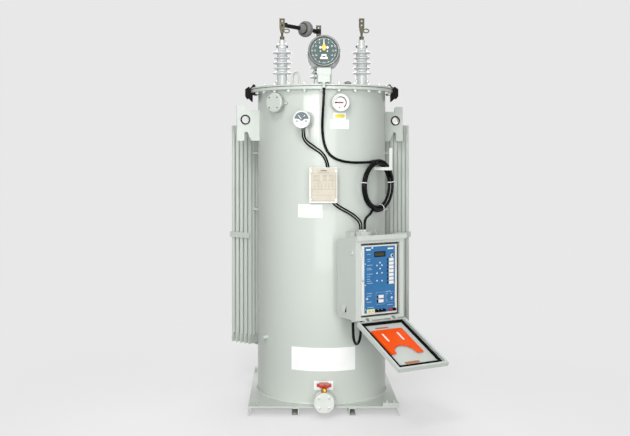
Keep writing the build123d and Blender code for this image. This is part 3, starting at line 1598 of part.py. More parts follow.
for cable_name, route, cable_radius in cable_runs:
    with BuildPart() as cable:
        with BuildLine() as cable_path:
            FilletPolyline(*route, radius=route_radii(route))
        start_point = Vector(*route[0])
        with BuildSketch(Plane(origin=start_point, z_dir=Vector(*route[1]) - start_point)):
            Circle(cable_radius)
        sweep(path=cable_path.wire())
    cable.part.label = cable_name
    export_step(cable.part, f"parts/{cable_name}.step")
    print_cable(cable_name, cable.part, route, cable_radius)

# The spare cable's turns, as one flat ring over the hanger
with BuildPart() as cable_coil:
    with BuildSketch(facing(coil_azimuth, coil_reach - coil_thickness / 2, coil_height)):
        Circle(coil_outer)
        Circle(coil_inner, mode=Mode.SUBTRACT)
    extrude(amount=coil_thickness)
cable_coil.part.label = "cable_coil"
export_step(cable_coil.part, "parts/cable_coil.step")
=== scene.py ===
"""Looks of a step voltage regulator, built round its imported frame.

Sizes in this file are millimetres unless a name says otherwise, and pieces are
turned to metres when they are finished. X is right, Y is away from the front
and Z is up; an azimuth is the angle round the tank from its front, positive
towards the right.
"""

import logging
from collections.abc import Mapping, Sequence
from dataclasses import dataclass
from enum import Enum
from math import cos, pi, radians, sin
from typing import Any

import bmesh
import bpy
from mathutils import Matrix, Vector


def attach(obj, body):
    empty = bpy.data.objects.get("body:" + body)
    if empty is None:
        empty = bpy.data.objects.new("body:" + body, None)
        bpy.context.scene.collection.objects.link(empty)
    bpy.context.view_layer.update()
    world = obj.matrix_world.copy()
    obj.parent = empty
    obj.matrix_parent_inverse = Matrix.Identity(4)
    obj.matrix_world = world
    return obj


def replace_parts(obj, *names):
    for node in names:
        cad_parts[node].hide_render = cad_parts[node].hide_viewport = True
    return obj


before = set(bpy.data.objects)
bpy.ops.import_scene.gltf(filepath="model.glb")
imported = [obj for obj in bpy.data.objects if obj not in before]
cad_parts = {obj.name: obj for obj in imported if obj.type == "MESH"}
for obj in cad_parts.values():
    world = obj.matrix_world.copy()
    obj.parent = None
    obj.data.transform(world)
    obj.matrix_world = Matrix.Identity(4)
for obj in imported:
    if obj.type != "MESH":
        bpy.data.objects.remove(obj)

Flat = tuple[float, float]
Point = tuple[float, float, float]
Tree = bpy.types.NodeTree
Socket = bpy.types.NodeSocket
Object = bpy.types.Object

MM = 0.001
IDENTITY = Matrix.Identity(4)
CABINET_AZIMUTH = 29.0
LOG = logging.getLogger("regulator")


class Body(Enum):
    """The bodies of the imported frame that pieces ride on."""

    REGULATOR = "regulator"
    DOOR = "door"
    HANDWHEEL = "handwheel"


# --- Colours, nodes and finishes ---


def linear(code: str) -> tuple[float, float, float, float]:
    """Turns a colour to the values that shaders take.

    Args:
        code: The colour as sRGB hex, such as "#C4CBC3".

    Returns:
        Linear red, green, blue and alpha.
    """
    parts = [int(code[i : i + 2], 16) / 255 for i in (1, 3, 5)]
    lin = [p / 12.92 if p <= 0.04045 else ((p + 0.055) / 1.055) ** 2.4 for p in parts]
    return (lin[0], lin[1], lin[2], 1.0)


def add_node(
    tree: Tree,
    kind: str,
    inputs: Mapping[str | int, Any] | None = None,
    **settings: Any,
) -> bpy.types.Node:
    """Adds a node to a tree.

    Args:
        tree: The material's or world's node tree.
        kind: The node's type.
        inputs: Values for its sockets; an output socket is linked.
        **settings: Properties of the node itself.

    Returns:
        The new node.
    """
    node = tree.nodes.new(kind)
    for name, value in settings.items():
        setattr(node, name, value)
    for key, value in (inputs or {}).items():
        if isinstance(value, Socket):
            tree.links.new(value, node.inputs[key])
        else:
            node.inputs[key].default_value = value
    return node


@dataclass(frozen=True)
class Finish:
    """A surface: a base colour that drifts, a sheen and a fine relief.

    Sizes of patterns are millimetres. Subclasses add what is particular to
    the real material.
    """

    name: str
    colour: str
    drift_colour: str
    drift_size: float = 220.0
    roughness: float = 0.4
    roughness_spread: float = 0.06
    grain_size: float = 3.0
    grain_depth: float = 0.02
    metallic: float = 0.0
    ior: float = 1.5
    specular: float = 0.5
    coat: float = 0.0
    coat_roughness: float = 0.1

    def material(self) -> bpy.types.Material:
        """Makes the material, or returns the one already made."""
        made = bpy.data.materials.get(self.name)
        if made:
            return made
        made = bpy.data.materials.new(self.name)
        made.use_nodes = True
        made.diffuse_color = linear(self.colour)
        tree = made.node_tree
        shader = tree.nodes["Principled BSDF"]
        place = add_node(tree, "ShaderNodeTexCoord").outputs["Object"]
        shader.inputs["Metallic"].default_value = self.metallic
        if not self.metallic:
            shader.inputs["IOR"].default_value = self.ior
            shader.inputs["Specular IOR Level"].default_value = self.specular
        shader.inputs["Coat Weight"].default_value = self.coat
        shader.inputs["Coat Roughness"].default_value = self.coat_roughness
        tree.links.new(self.paint(tree, place), shader.inputs["Base Color"])
        tree.links.new(self.sheen(tree, place), shader.inputs["Roughness"])
        tree.links.new(self.relief(tree, place), shader.inputs["Normal"])
        return made

    def clouds(
        self,
        tree: Tree,
        place: Socket,
        size: float,
        stretch: Point = (1.0, 1.0, 1.0),
        detail: float = 3.0,
    ) -> Socket:
        """Adds a cloudy pattern of a real size.

        Args:
            tree: The material's tree.
            place: Coordinates in metres.
            size: Width of a cloud.
            stretch: How many times longer a cloud is along X, Y and Z.
            detail: Octaves.

        Returns:
            The pattern's value socket.
        """
        scale = tuple(1.0 / s for s in stretch)
        mapped = add_node(tree, "ShaderNodeMapping", {"Vector": place, "Scale": scale})
        cloud = add_node(
            tree,
            "ShaderNodeTexNoise",
            {"Vector": mapped.outputs[0], "Scale": 1000.0 / size, "Detail": detail},
        )
        return cloud.outputs["Fac"]

    def overlay(
        self, tree: Tree, pattern: Socket, limits: Flat, strength: Any, under: Any, over: str
    ) -> Socket:
        """Lays a colour over another where a pattern is strong.

        Args:
            tree: The material's tree.
            pattern: The pattern's value socket.
            limits: Values of the pattern where the colour starts and where it is full.
            strength: Share of the colour where it is full, as a number or a socket.
            under: The colour below, as a hex code or a socket.
            over: The colour laid over it, as a hex code.

        Returns:
            The mixed colour socket.
        """
        share = add_node(
            tree,
            "ShaderNodeMapRange",
            {"Value": pattern, 1: limits[0], 2: limits[1], 4: strength},
        ).outputs[0]
        below = linear(under) if isinstance(under, str) else under
        colours = {0: share, 6: below, 7: linear(over)}
        return add_node(tree, "ShaderNodeMix", colours, data_type="RGBA").outputs[2]

    def paint(self, tree: Tree, place: Socket) -> Socket:
        """Returns the base colour: two tones that drift into each other."""
        drift = self.clouds(tree, place, self.drift_size)
        return self.overlay(tree, drift, (0.35, 0.65), 1.0, self.colour, self.drift_colour)

    def sheen(self, tree: Tree, place: Socket) -> Socket:
        """Returns the roughness, which varies a little over the surface."""
        cloud = self.clouds(tree, place, self.drift_size / 3)
        low = self.roughness - self.roughness_spread
        high = self.roughness + self.roughness_spread
        limits = {"Value": cloud, 1: 0.3, 2: 0.7, 3: low, 4: high}
        return add_node(tree, "ShaderNodeMapRange", limits).outputs[0]

    def grain(self, tree: Tree, place: Socket) -> Socket:
        """Returns the fine pattern that stands out of the surface."""
        return self.clouds(tree, place, self.grain_size, detail=2.0)

    def relief(self, tree: Tree, place: Socket) -> Socket:
        """Returns the surface normal with its fine grain."""
        height = {"Height": self.grain(tree, place), "Distance": self.grain_depth * MM}
        return add_node(tree, "ShaderNodeBump", {"Strength": 1.0, **height}).outputs[0]


@dataclass(frozen=True)
class SprayedEnamel(Finish):
    """Air-dried alkyd enamel sprayed on steel.

    It has a soft orange peel that breaks up highlights, faint runs down upright
    walls, and a little dust and scuffing low down.
    """

    dust: str = "#B3B5A8"
    dust_height: float = 150.0
    streak_share: float = 0.02

    def paint(self, tree: Tree, place: Socket) -> Socket:
        """Returns the enamel's colour with its streaks and low dust."""
        runs = self.clouds(tree, place, 22.0, stretch=(1.0, 1.0, 16.0), detail=1.0)
        coat = super().paint(tree, place)
        streaked = self.overlay(tree, runs, (0.3, 0.8), self.streak_share, coat, self.dust)
        height = add_node(tree, "ShaderNodeSeparateXYZ", {0: place}).outputs[2]
        reach = {"Value": height, 1: self.dust_height * MM, 2: 0.0, 4: 0.25}
        low = add_node(tree, "ShaderNodeMapRange", reach).outputs[0]
        speckle = self.clouds(tree, place, 6.0, detail=5.0)
        return self.overlay(tree, speckle, (0.42, 0.62), low, streaked, self.dust)


@dataclass(frozen=True)
class GlazedPorcelain(Finish):
    """Wet-process porcelain under a fired grey glaze.

    The glaze is glassy, pools a little darker in places, and carries tiny dark
    firing specks.
    """

    speck: str = "#9EA19D"

    def paint(self, tree: Tree, place: Socket) -> Socket:
        """Returns the glaze's colour with its specks."""
        # Firing specks of 0.3 mm are drawn 1 mm wide so that they show.
        dots = add_node(
            tree, "ShaderNodeTexVoronoi", {"Vector": place, "Scale": 1000.0 / 7.0}
        ).outputs["Distance"]
        base = super().paint(tree, place)
        return self.overlay(tree, dots, (0.11, 0.07), 0.6, base, self.speck)


@dataclass(frozen=True)
class BrushedMetal(Finish):
    """Sheet or bar metal with fine lines left by a brush or a lathe."""

    line_axis: int = 2
    line_width: float = 0.6

    def grain(self, tree: Tree, place: Socket) -> Socket:
        """Returns the pattern of the brushed lines."""
        stretch = tuple(1.0 if axis == self.line_axis else 30.0 for axis in range(3))
        return self.clouds(tree, place, self.line_width, stretch=stretch, detail=2.0)


@dataclass(frozen=True)
class TarnishedMetal(Finish):
    """Cast or forged metal that has darkened unevenly in the open."""

    tarnish: str = "#4A4434"
    tarnish_share: float = 0.7

    def paint(self, tree: Tree, place: Socket) -> Socket:
        """Returns the metal's colour with its tarnish."""
        cloud = self.clouds(tree, place, 9.0, detail=6.0)
        base = super().paint(tree, place)
        return self.overlay(tree, cloud, (0.42, 0.68), self.tarnish_share, base, self.tarnish)


# Sprayed enamel is glossy with a soft reflection of the lamps.
TANK_PAINT = SprayedEnamel(
    "sprayed_tank_enamel",
    "#C9D0C9",
    "#C7CEC7",
    roughness=0.34,
    roughness_spread=0.02,
    grain_depth=0.008,
    specular=0.2,
    coat=0.32,
    coat_roughness=0.06,
)
# Baked powder coat is lighter, flatter and finely pebbled.
CABINET_PAINT = SprayedEnamel(
    "baked_powder_coat", "#CDD3CD", "#CAD0CA", roughness=0.42, specular=0.3, grain_size=1.6
)
# Radiator panels take an enamel paler than the tank's, as painted light on their lit fins.
RADIATOR_PAINTED_LIGHT = SprayedEnamel(
    "radiator_enamel_painted_light", "#DCE2DC", "#D7DDD7", roughness=0.36, specular=0.25
)
# The valve's cast body takes an enamel paler than the tank's: painted light on its lit front.
VALVE_PAINTED_LIGHT = SprayedEnamel(
    "valve_enamel_painted_light", "#E1E6E0", "#DADFD9", 40.0, 0.4, specular=0.25, grain_size=5.0
)
# Black enamel over sand-cast iron keeps the sand's pebbled skin.
BLACK_IRON = Finish(
    "painted_sand_cast_iron",
    "#0C0D0C",
    "#141513",
    30.0,
    0.5,
    specular=0.06,
    grain_size=2.5,
    grain_depth=0.25,
)
# Nitrile rubber is matt black with a bloom.
RUBBER = Finish("nitrile_rubber", "#0B0C0C", "#121313", 25.0, 0.7, specular=0.05, grain_size=1.5)
# Sky grey glaze is glassy, with a clear skin over the porcelain.
PORCELAIN = GlazedPorcelain(
    "sky_grey_glazed_porcelain",
    "#CBCECE",
    "#C4C8C8",
    60.0,
    0.16,
    0.03,
    grain_size=8.0,
    coat=0.1,
    coat_roughness=0.05,
)
# Cast bronze, tinned and tarnished to a yellow brown.
BRONZE = TarnishedMetal(
    "tarnished_tinned_bronze",
    "#504E40",
    "#3E3C30",
    12.0,
    0.42,
    metallic=0.75,
    grain_depth=0.06,
    tarnish="#38352B",
)
# The bushings' caps are die cast and left bright.
CAP_ALLOY = Finish("die_cast_cap_alloy", "#D0D3D1", "#C4C8C5", 12.0, 0.36, metallic=0.15)
# Grey silicone polymer housing, matt with a dusty bloom.
GREY_POLYMER = Finish(
    "moulded_grey_polymer", "#7F7F81", "#757577", 20.0, 0.5, specular=0.3, grain_size=2.0
)
# Heat-shrink sleeve is satin black.
BLACK_SLEEVE = Finish(
    "heat_shrink_sleeve", "#080809", "#0E0E0F", 18.0, 0.36, specular=0.08, grain_size=4.0
)
# Extruded PVC sheath is black and semi-gloss, with a slow waviness.
CABLE_SHEATH = Finish(
    "extruded_pvc_sheath",
    "#060707",
    "#0B0C0C",
    40.0,
    0.2,
    specular=0.1,
    grain_size=9.0,
    grain_depth=0.04,
)
# Zinc-plated steel fasteners are bright and a little cloudy.
ZINC = Finish(
    "zinc_plated_steel", "#D9DBD9", "#BFC2C0", 6.0, 0.32, metallic=0.75, grain_size=1.2
)
# Bolts that were sprayed with the tank are painted nearly white all over, a painted highlight for
# the light that they catch.
BOLT_PAINTED_HIGHLIGHT = Finish(
    "sprayed_fasteners_painted_highlight", "#E3E6E1", "#D5D9D3", 8.0, 0.32, metallic=0.1, grain_size=1.5
)
# The vent's galvanised cap has gone dull.
VENT_GREY = Finish("dull_galvanised_vent", "#9A9E99", "#858A85", 10.0, 0.45, metallic=0.3)
# Plain steel screws and washers have dulled to a dark grey.
DARK_STEEL = Finish("dull_dark_steel", "#4B4E4C", "#35383A", 5.0, 0.5, metallic=0.5)
# Spun aluminium bezels are bright with lathe lines.
SPUN_ALUMINIUM = BrushedMetal(
    "spun_aluminium", "#8F9392", "#858988", 30.0, 0.34, metallic=0.5, grain_depth=0.01
)
# The gauges' die-cast rims are sprayed white.
GAUGE_WHITE = Finish("sprayed_gauge_white", "#EFF1EE", "#E8EAE7", 40.0, 0.34, specular=0.3)
# Their housings are a dark grey of painted shade, for the shade on their sides, so that the rims
# stand out; the indicator bezel's dark rings take it too.
GAUGE_PAINTED_SHADE = Finish("gauge_grey_painted_shade", "#5F635F", "#555955", 20.0, 0.45, specular=0.2)
# The indicator's die-cast case is sprayed pale grey.
GAUGE_PAINT = Finish("sprayed_gauge_grey", "#C3C7C5", "#BBBFBD", 40.0, 0.36, grain_size=2.0)
# Dials are printed sheet: slate green, white and blue grey, all matt.
DIAL_SLATE = Finish(
    "printed_slate_dial", "#4E6361", "#485B5A", 30.0, 0.5, specular=0.3, grain_depth=0.003
)
DIAL_WHITE = Finish("printed_white_dial", "#EDEEEC", "#E4E6E3", 30.0, 0.45, grain_depth=0.003)
DIAL_BLUE = Finish("printed_blue_grey_dial", "#64747C", "#5B6A72", 20.0, 0.45, grain_depth=0.003)
# Their marks are screen-printed ink, a hair thick.
INK_WHITE = Finish("white_dial_ink", "#F1F3F0", "#E6E9E6", 10.0, 0.5, grain_depth=0.002)
INK_BLACK = Finish(
    "black_dial_ink", "#0C0D0E", "#141516", 10.0, 0.5, specular=0.08, grain_depth=0.002
)
# The hands are stamped aluminium in smooth enamel: yellow, pale cream and dark red.
NEEDLE_YELLOW = Finish(
    "yellow_needle_enamel", "#EFD24E", "#E5C33F", 10.0, 0.35, grain_depth=0.004
)
NEEDLE_PALE = Finish("pale_needle_enamel", "#F1F1DE", "#E8E8D2", 10.0, 0.4, grain_depth=0.004)
POINTER_RED = Finish("dark_red_pointer_enamel", "#8A2B28", "#7A2321", 10.0, 0.4)
# Yellow brass bar, machined.
BRASS = TarnishedMetal(
    "machined_brass",
    "#C79A45",
    "#B98933",
    8.0,
    0.3,
    metallic=0.9,
    tarnish="#7A5A22",
    tarnish_share=0.4,
)
# Thick red enamel on the cast handwheel is glossy.
WHEEL_RED = Finish(
    "red_handwheel_enamel", "#D13A2A", "#BE3023", 15.0, 0.3, coat=0.3, grain_size=2.5
)
# The nameplate is satin aluminium with fine brushed lines.
PLATE = BrushedMetal(
    "satin_aluminium_plate", "#D9DAD4", "#D1D2CC", 60.0, 0.42, metallic=0.1, grain_depth=0.006
)
# The plate's etched field has yellowed to a warm grey.
ETCHED_FIELD = Finish("etched_warm_grey_field", "#CEC7B7", "#C5BEAD", 25.0, 0.5, grain_depth=0.004)
# Its rules are etched and filled with a brown ink.
PLATE_INK = Finish("etched_plate_ink", "#857B6C", "#786E5F", 6.0, 0.6, grain_depth=0.002)
# Vinyl sheets are smooth and a touch glossier than paint.
VINYL_WHITE = Finish(
    "white_vinyl", "#FCFDFC", "#F6F8F6", 80.0, 0.38, grain_size=5.0, grain_depth=0.01
)
VINYL_YELLOW = Finish("yellow_vinyl", "#F0E03C", "#E8D62F", 20.0, 0.38, grain_depth=0.01)
VINYL_CREAM = Finish("cream_vinyl", "#F3F1E6", "#EEECE0", 20.0, 0.38, grain_depth=0.01)
# The inner panel is powder-coated sheet, finely pebbled.
PANEL_WHITE = Finish(
    "powder_coated_white_sheet", "#E4E8E3", "#DCE1DB", 90.0, 0.4, grain_size=1.6
)
# The faceplate is textured polyester, printed blue from behind.
PANEL_BLUE = Finish(
    "screen_printed_blue_polyester",
    "#3673A6",
    "#326C9E",
    60.0,
    0.42,
    specular=0.3,
    grain_size=1.2,
    grain_depth=0.01,
)
# Its marks are a paler blue where the print leaves them clear.
PANEL_LIGHT_INK = Finish("pale_blue_ink", "#A9C4DE", "#97B5D4", 5.0, 0.5, grain_depth=0.002)
# The display's window is a smooth dark olive filter.
DISPLAY = Finish("vacuum_fluorescent_window", "#3B3A22", "#2B2B18", 8.0, 0.15, grain_depth=0.002)
# Moulded switches, posts, keys and outlet have a satin gloss.
BLACK_PLASTIC = Finish("moulded_black_abs", "#0A0B0C", "#121314", 8.0, 0.35, specular=0.1)
WHITE_PLASTIC = Finish("moulded_white_abs", "#EFF1EE", "#E6E9E5", 8.0, 0.35)
CREAM_PLASTIC = Finish("moulded_cream_thermoset", "#E9E6B8", "#DEDBA9", 8.0, 0.35)
RED_PLASTIC = Finish("moulded_red_abs", "#B3262B", "#9F2025", 8.0, 0.32)
# Orange polypropylene sheet, die cut, with a soft sheen.
ORANGE_SHEET = Finish(
    "die_cut_orange_polypropylene", "#FA5808", "#F55204", 50.0, 0.5, specular=0.12, grain_size=2.0
)
# The door's clip strips are anodised orange brown.
STRIP_COPPER = Finish(
    "orange_brown_anodised_strip", "#C07A4C", "#AD6A3F", 10.0, 0.35, metallic=0.2
)
# Steel hinge leaves under thin grey paint, a little worn.
HINGE_STEEL = Finish("painted_hinge_steel", "#8D938C", "#777D77", 6.0, 0.4, metallic=0.2)
# Cable ties are natural nylon, milky and smooth.
NYLON_TIE = Finish("natural_nylon", "#E9EAE6", "#DDDFDA", 6.0, 0.4)

NODE_FINISHES: dict[Finish, tuple[str, ...]] = {
    TANK_PAINT: (
        "base_plate",
        "base_skids",
        "tank_shell",
        "tank_floor",
        "tank_rim",
        "cover",
        "cover_eye",
        "lug_left",
        "lug_right",
        "tank_bosses",
        "radiator_braces",
        "bushing_collars",
        "hand_hole",
        "indicator_stand",
        "cable_hanger",
        "cabinet_brackets",
    ),
    # A paler enamel of painted light.
    RADIATOR_PAINTED_LIGHT: (
        "radiator_left_panels",
        "radiator_left_headers",
        "radiator_right_panels",
        "radiator_right_headers",
    ),
    # A paler enamel of painted light.
    VALVE_PAINTED_LIGHT: ("drain_valve",),
    CABINET_PAINT: (
        "cabinet_body",
        "cabinet_roof",
        "cabinet_fittings",
        "gland_box",
        "door_panel",
    ),
    BLACK_IRON: ("rim_clamps",),
    RUBBER: ("cover_gasket", "door_seal"),
    PORCELAIN: ("bushing_left", "bushing_right", "bushing_rear"),
    BRONZE: ("terminal_left", "terminal_right", "terminal_rear"),
    GREY_POLYMER: ("arrester",),
    BLACK_SLEEVE: ("arrester_leads",),
    GAUGE_PAINT: ("indicator_case",),
    # The gauge housings take the dark grey of painted shade.
    GAUGE_PAINTED_SHADE: ("level_gauge", "thermometer"),
    BRASS: ("drain_bonnet",),
    WHEEL_RED: ("drain_handwheel",),
    PLATE: ("nameplate",),
    PANEL_WHITE: ("control_panel",),
    PANEL_BLUE: ("faceplate",),
    BLACK_PLASTIC: ("panel_controls",),
    ORANGE_SHEET: ("document_pocket",),
    HINGE_STEEL: ("hinge_leaves",),
    CABLE_SHEATH: (
        "indicator_cable",
        "indicator_cable_tail",
        "gauge_cable_1",
        "gauge_cable_2",
        "cabinet_loop",
        "cable_coil",
    ),
}


def dress_nodes() -> None:
    """Gives every node of the frame its finish."""
    for finish, names in NODE_FINISHES.items():
        for name in names:
            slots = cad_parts[name].data.materials
            slots.clear()
            slots.append(finish.material())
        LOG.info("%s on %s", finish.name, ", ".join(names))


# --- Places and shapes ---


def frame_at(origin: Vector, x: Vector, y: Vector, z: Vector) -> Matrix:
    """Returns the matrix of a local frame, its origin in millimetres."""
    turned = Matrix((x, y, z)).transposed().to_4x4()
    return Matrix.Translation(origin) @ turned


def facing(azimuth: float, reach: float, height: float, across: float = 0.0) -> Matrix:
    """Places something on the tank: x to the right, y up, z outward.

    Args:
        azimuth: Degrees round the tank.
        reach: Distance from the tank's axis.
        height: Height over the ground.
        across: Shift to the right.

    Returns:
        The local frame.
    """
    turn = radians(azimuth)
    out = Vector((sin(turn), -cos(turn), 0.0))
    right = Vector((cos(turn), sin(turn), 0.0))
    up = Vector((0.0, 0.0, 1.0))
    return frame_at(out * reach + right * across + up * height, right, up, out)


def upright(x: float, y: float, z: float, turn: float = 0.0) -> Matrix:
    """Places something standing at a point, turned about Z by degrees."""
    return Matrix.Translation((x, y, z)) @ Matrix.Rotation(radians(turn), 4, "Z")


def along(start: Vector, end: Vector) -> Matrix:
    """Places something so that its z runs from start towards end."""
    turn = (end - start).to_track_quat("Z", "Y").to_matrix().to_4x4()
    return Matrix.Translation(start) @ turn


def shift(x: float = 0.0, y: float = 0.0, z: float = 0.0) -> Matrix:
    """Moves something within its local frame."""
    return Matrix.Translation((x, y, z))


def tilt(angle: float, axis: str = "X") -> Matrix:
    """Turns something within its local frame by degrees."""
    return Matrix.Rotation(radians(angle), 4, axis)


def stand(name: str, data: Any) -> Object:
    """Puts an object with its data into the scene."""
    made = bpy.data.objects.new(name, data)
    bpy.context.scene.collection.objects.link(made)
    return made


def smooth_line(
    name: str, points: Sequence[Point], radius: float, sides: int, closed: bool = False
) -> bpy.types.Curve:
    """Draws a round bar along one smooth line.

    Args:
        name: Name of the curve.
        points: Control points of its middle line.
        radius: Radius of the bar.
        sides: Steps of its rounding.
        closed: Whether it is a closed ring.

    Returns:
        The curve.
    """
    data = bpy.data.curves.new(name, "CURVE")
    data.dimensions = "3D"
    data.bevel_depth = radius
    data.bevel_resolution = sides
    data.use_fill_caps = not closed
    spline = data.splines.new("NURBS")
    spline.points.add(len(points) - 1)
    for spot, point in zip(spline.points, points):
        spot.co = (*point, 1.0)
    spline.order_u = 3
    spline.use_endpoint_u = not closed
    spline.resolution_u = 8
    spline.use_cyclic_u = closed
    return data


def melted(data: Any) -> bmesh.types.BMesh:
    """Turns a curve or a text to a mesh in the making, and removes it."""
    holder = stand("scratch", data)
    mesh = bpy.data.meshes.new_from_object(holder)
    part = bmesh.new()
    part.from_mesh(mesh)
    bpy.data.objects.remove(holder)
    bpy.data.curves.remove(data)
    bpy.data.meshes.remove(mesh)
    return part


def thicken(part: bmesh.types.BMesh, height: float) -> None:
    """Extrudes all the faces of a flat part upwards."""
    grown = bmesh.ops.extrude_face_region(part, geom=part.faces[:])["geom"]
    rise = [g for g in grown if isinstance(g, bmesh.types.BMVert)]
    bmesh.ops.translate(part, vec=(0.0, 0.0, height), verts=rise)


class Shape:
    """A mesh in the making, put together from bmesh operators."""

    def __init__(self) -> None:
        """Starts an empty shape."""
        self.mesh = bmesh.new()
        self.finishes: list[Finish] = []

    def take(
        self,
        part: bmesh.types.BMesh,
        place: Matrix,
        finish: Finish,
        bevel: float = 0.0,
        segments: int = 2,
        sharp: float = 30.0,
    ) -> None:
        """Bevels a part, puts it in place and joins it to the shape.

        Args:
            part: The part, which is used up.
            place: Its local frame.
            finish: Its finish.
            bevel: Width of the bevel on its sharp edges.
            segments: Segments of the bevel.
            sharp: Least angle in degrees of a sharp edge.
        """
        bmesh.ops.remove_doubles(part, verts=part.verts, dist=1e-4)
        if bevel:
            edges = [e for e in part.edges if e.calc_face_angle(0.0) > radians(sharp)]
            bmesh.ops.bevel(
                part,
                geom=edges,
                offset=bevel,
                offset_type="OFFSET",
                affect="EDGES",
                segments=segments,
                profile=0.5,
                material=-1,
                clamp_overlap=True,
            )
        bmesh.ops.transform(part, matrix=place, verts=part.verts)
        bmesh.ops.recalc_face_normals(part, faces=part.faces)
        if finish not in self.finishes:
            self.finishes.append(finish)
        for face in part.faces:
            face.material_index = self.finishes.index(finish)
        scratch = bpy.data.meshes.new("scratch")
        part.to_mesh(scratch)
        part.free()
        self.mesh.from_mesh(scratch)
        bpy.data.meshes.remove(scratch)

    def box(
        self, size: Point, place: Matrix, finish: Finish, bevel: float = 0.0, segments: int = 2
    ) -> None:
        """Adds a box centred on its place.

        Args:
            size: Width, depth and height.
            place: Its local frame.
            finish: Its finish.
            bevel: Bevel of its edges.
            segments: Segments of the bevel.
        """
        part = bmesh.new()
        bmesh.ops.create_cube(part, size=1.0)
        bmesh.ops.scale(part, vec=size, verts=part.verts)
        self.take(part, place, finish, bevel, segments)

    def rod(
        self,
        radius: float,
        length: float,
        place: Matrix,
        finish: Finish,
        sides: int = 24,
        tip: float | None = None,
        bevel: float = 0.0,
    ) -> None:
        """Adds a rod or a prism that runs from its place along z.

        Args:
            radius: Radius at its start.
            length: Length.
            place: Its local frame.
            finish: Its finish.
            sides: Number of sides.
            tip: Radius at its end, if that differs.
            bevel: Bevel of its sharp edges.
        """
        part = bmesh.new()
        bmesh.ops.create_cone(
            part,
            cap_ends=True,
            segments=sides,
            radius1=radius,
            radius2=radius if tip is None else tip,
            depth=length,
        )
        bmesh.ops.translate(part, vec=(0.0, 0.0, length / 2), verts=part.verts)
        self.take(part, place, finish, bevel, 2, 50.0)

    def turned(
        self,
        profile: Sequence[Flat],
        place: Matrix,
        finish: Finish,
        steps: int = 48,
        closed: bool = False,
        bevel: float = 0.0,
    ) -> None:
        """Adds a shape turned about z.

        Args:
            profile: Radius and height of its points in order.
            place: Its local frame.
            finish: Its finish.
            steps: Steps of the turn.
            closed: Whether the last point joins the first, as in a ring.
            bevel: Bevel of its sharp edges.
        """
        part = bmesh.new()
        points = [part.verts.new((r, 0.0, z)) for r, z in profile]
        pairs = list(zip(points, points[1:]))
        if closed:
            pairs.append((points[-1], points[0]))
        edges = [part.edges.new(pair) for pair in pairs]
        bmesh.ops.spin(
            part,
            geom=points + edges,
            cent=(0.0, 0.0, 0.0),
            axis=(0.0, 0.0, 1.0),
            angle=2 * pi,
            steps=steps,
            use_merge=True,
        )
        self.take(part, place, finish, bevel)

    def slab(
        self,
        outline: Sequence[Flat],
        thickness: float,
        place: Matrix,
        finish: Finish,
        bevel: float = 0.0,
    ) -> None:
        """Adds a flat slab that rises from its place along z.

        Args:
            outline: Its corners in order.
            thickness: Thickness.
            place: Its local frame.
            finish: Its finish.
            bevel: Bevel of its sharp edges.
        """
        part = bmesh.new()
        part.faces.new([part.verts.new((x, y, 0.0)) for x, y in outline])
        thicken(part, thickness)
        self.take(part, place, finish, bevel)

    def wrapped(
        self,
        size: Flat,
        azimuth: float,
        reach: float,
        height: float,
        finish: Finish,
        proud: float,
    ) -> None:
        """Adds a thin sheet that lies on the round tank.

        Args:
            size: Its width and height.
            azimuth: Azimuth of its middle.
            reach: Radius that it lies on.
            height: Height of its middle.
            finish: Its finish.
            proud: Its thickness.
        """
        part = bmesh.new()
        bmesh.ops.create_grid(part, x_segments=16, y_segments=2, size=0.5)
        bmesh.ops.scale(part, vec=(size[0], size[1], 1.0), verts=part.verts)
        thicken(part, proud)
        for vert in part.verts:
            x, y, z = vert.co
            turn = radians(azimuth) + x / reach
            vert.co = (sin(turn) * (reach + z), -cos(turn) * (reach + z), height + y)
        self.take(part, IDENTITY, finish)

    def bolt(
        self,
        place: Matrix,
        finish: Finish,
        across: float = 16.0,
        head: float = 9.0,
        washer: float = 12.0,
        stud: float = 0.0,
    ) -> None:
        """Adds a hexagon head or nut on a washer, its z pointing out.

        Args:
            place: Its local frame, on the surface.
            finish: Its finish.
            across: Width across its flats.
            head: Height of the head.
            washer: Radius of the washer, or 0 for none.
            stud: How far a stud stands out of the nut.
        """
        base = 0.0
        if washer:
            self.rod(washer, 2.0, place, finish, 20, bevel=0.5)
            base = 1.9
        corner = across / 2 / cos(pi / 6)
        self.rod(corner, head, place @ shift(z=base), finish, 6, bevel=min(1.2, across / 12))
        if stud:
            end = place @ shift(z=base + head - 0.1)
            self.rod(across * 0.29, stud, end, finish, 12, bevel=0.8)

    def piece(
        self, name: str, slot: str, smooth: float = 35.0, body: Body = Body.REGULATOR
    ) -> Object:
        """Finishes the shape as an object that rides on a body.

        Args:
            name: The piece's name.
            slot: The record's material slot; not used.
            smooth: Edges sharper than this many degrees stay sharp.
            body: The body that it rides on.

        Returns:
            The finished object.
        """
        bmesh.ops.scale(self.mesh, vec=(MM, MM, MM), verts=self.mesh.verts)
        data = bpy.data.meshes.new(name)
        self.mesh.to_mesh(data)
        self.mesh.free()
        data.shade_smooth()
        data.set_sharp_from_angle(angle=radians(smooth))
        for finish in self.finishes:
            data.materials.append(finish.material())
        made = stand(name, data)
        made.modifiers.new("weighted_normals", "WEIGHTED_NORMAL").keep_sharp = True
        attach(made, body.value)
        LOG.info("%s: %d faces", name, len(data.polygons))
        return made


def recast(
    name: str, node: str, slot: str, finish: Finish, body: Body = Body.REGULATOR
) -> None:
    """Stands a merged, smoothly shaded copy of a node in its place.

    Args:
        name: Name of the new piece.
        node: The node that it replaces.
        slot: The record's material slot.
        finish: Its finish.
        body: The body that it rides on.
    """
    shape = Shape()
    part = bmesh.new()
    part.from_mesh(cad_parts[node].data)
    bmesh.ops.remove_doubles(part, verts=part.verts, dist=1e-6)
    bmesh.ops.scale(part, vec=(1 / MM, 1 / MM, 1 / MM), verts=part.verts)
    shape.take(part, IDENTITY, finish)
    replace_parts(shape.piece(name, slot, 30.0, body), node)


# --- Camera, light and floor ---


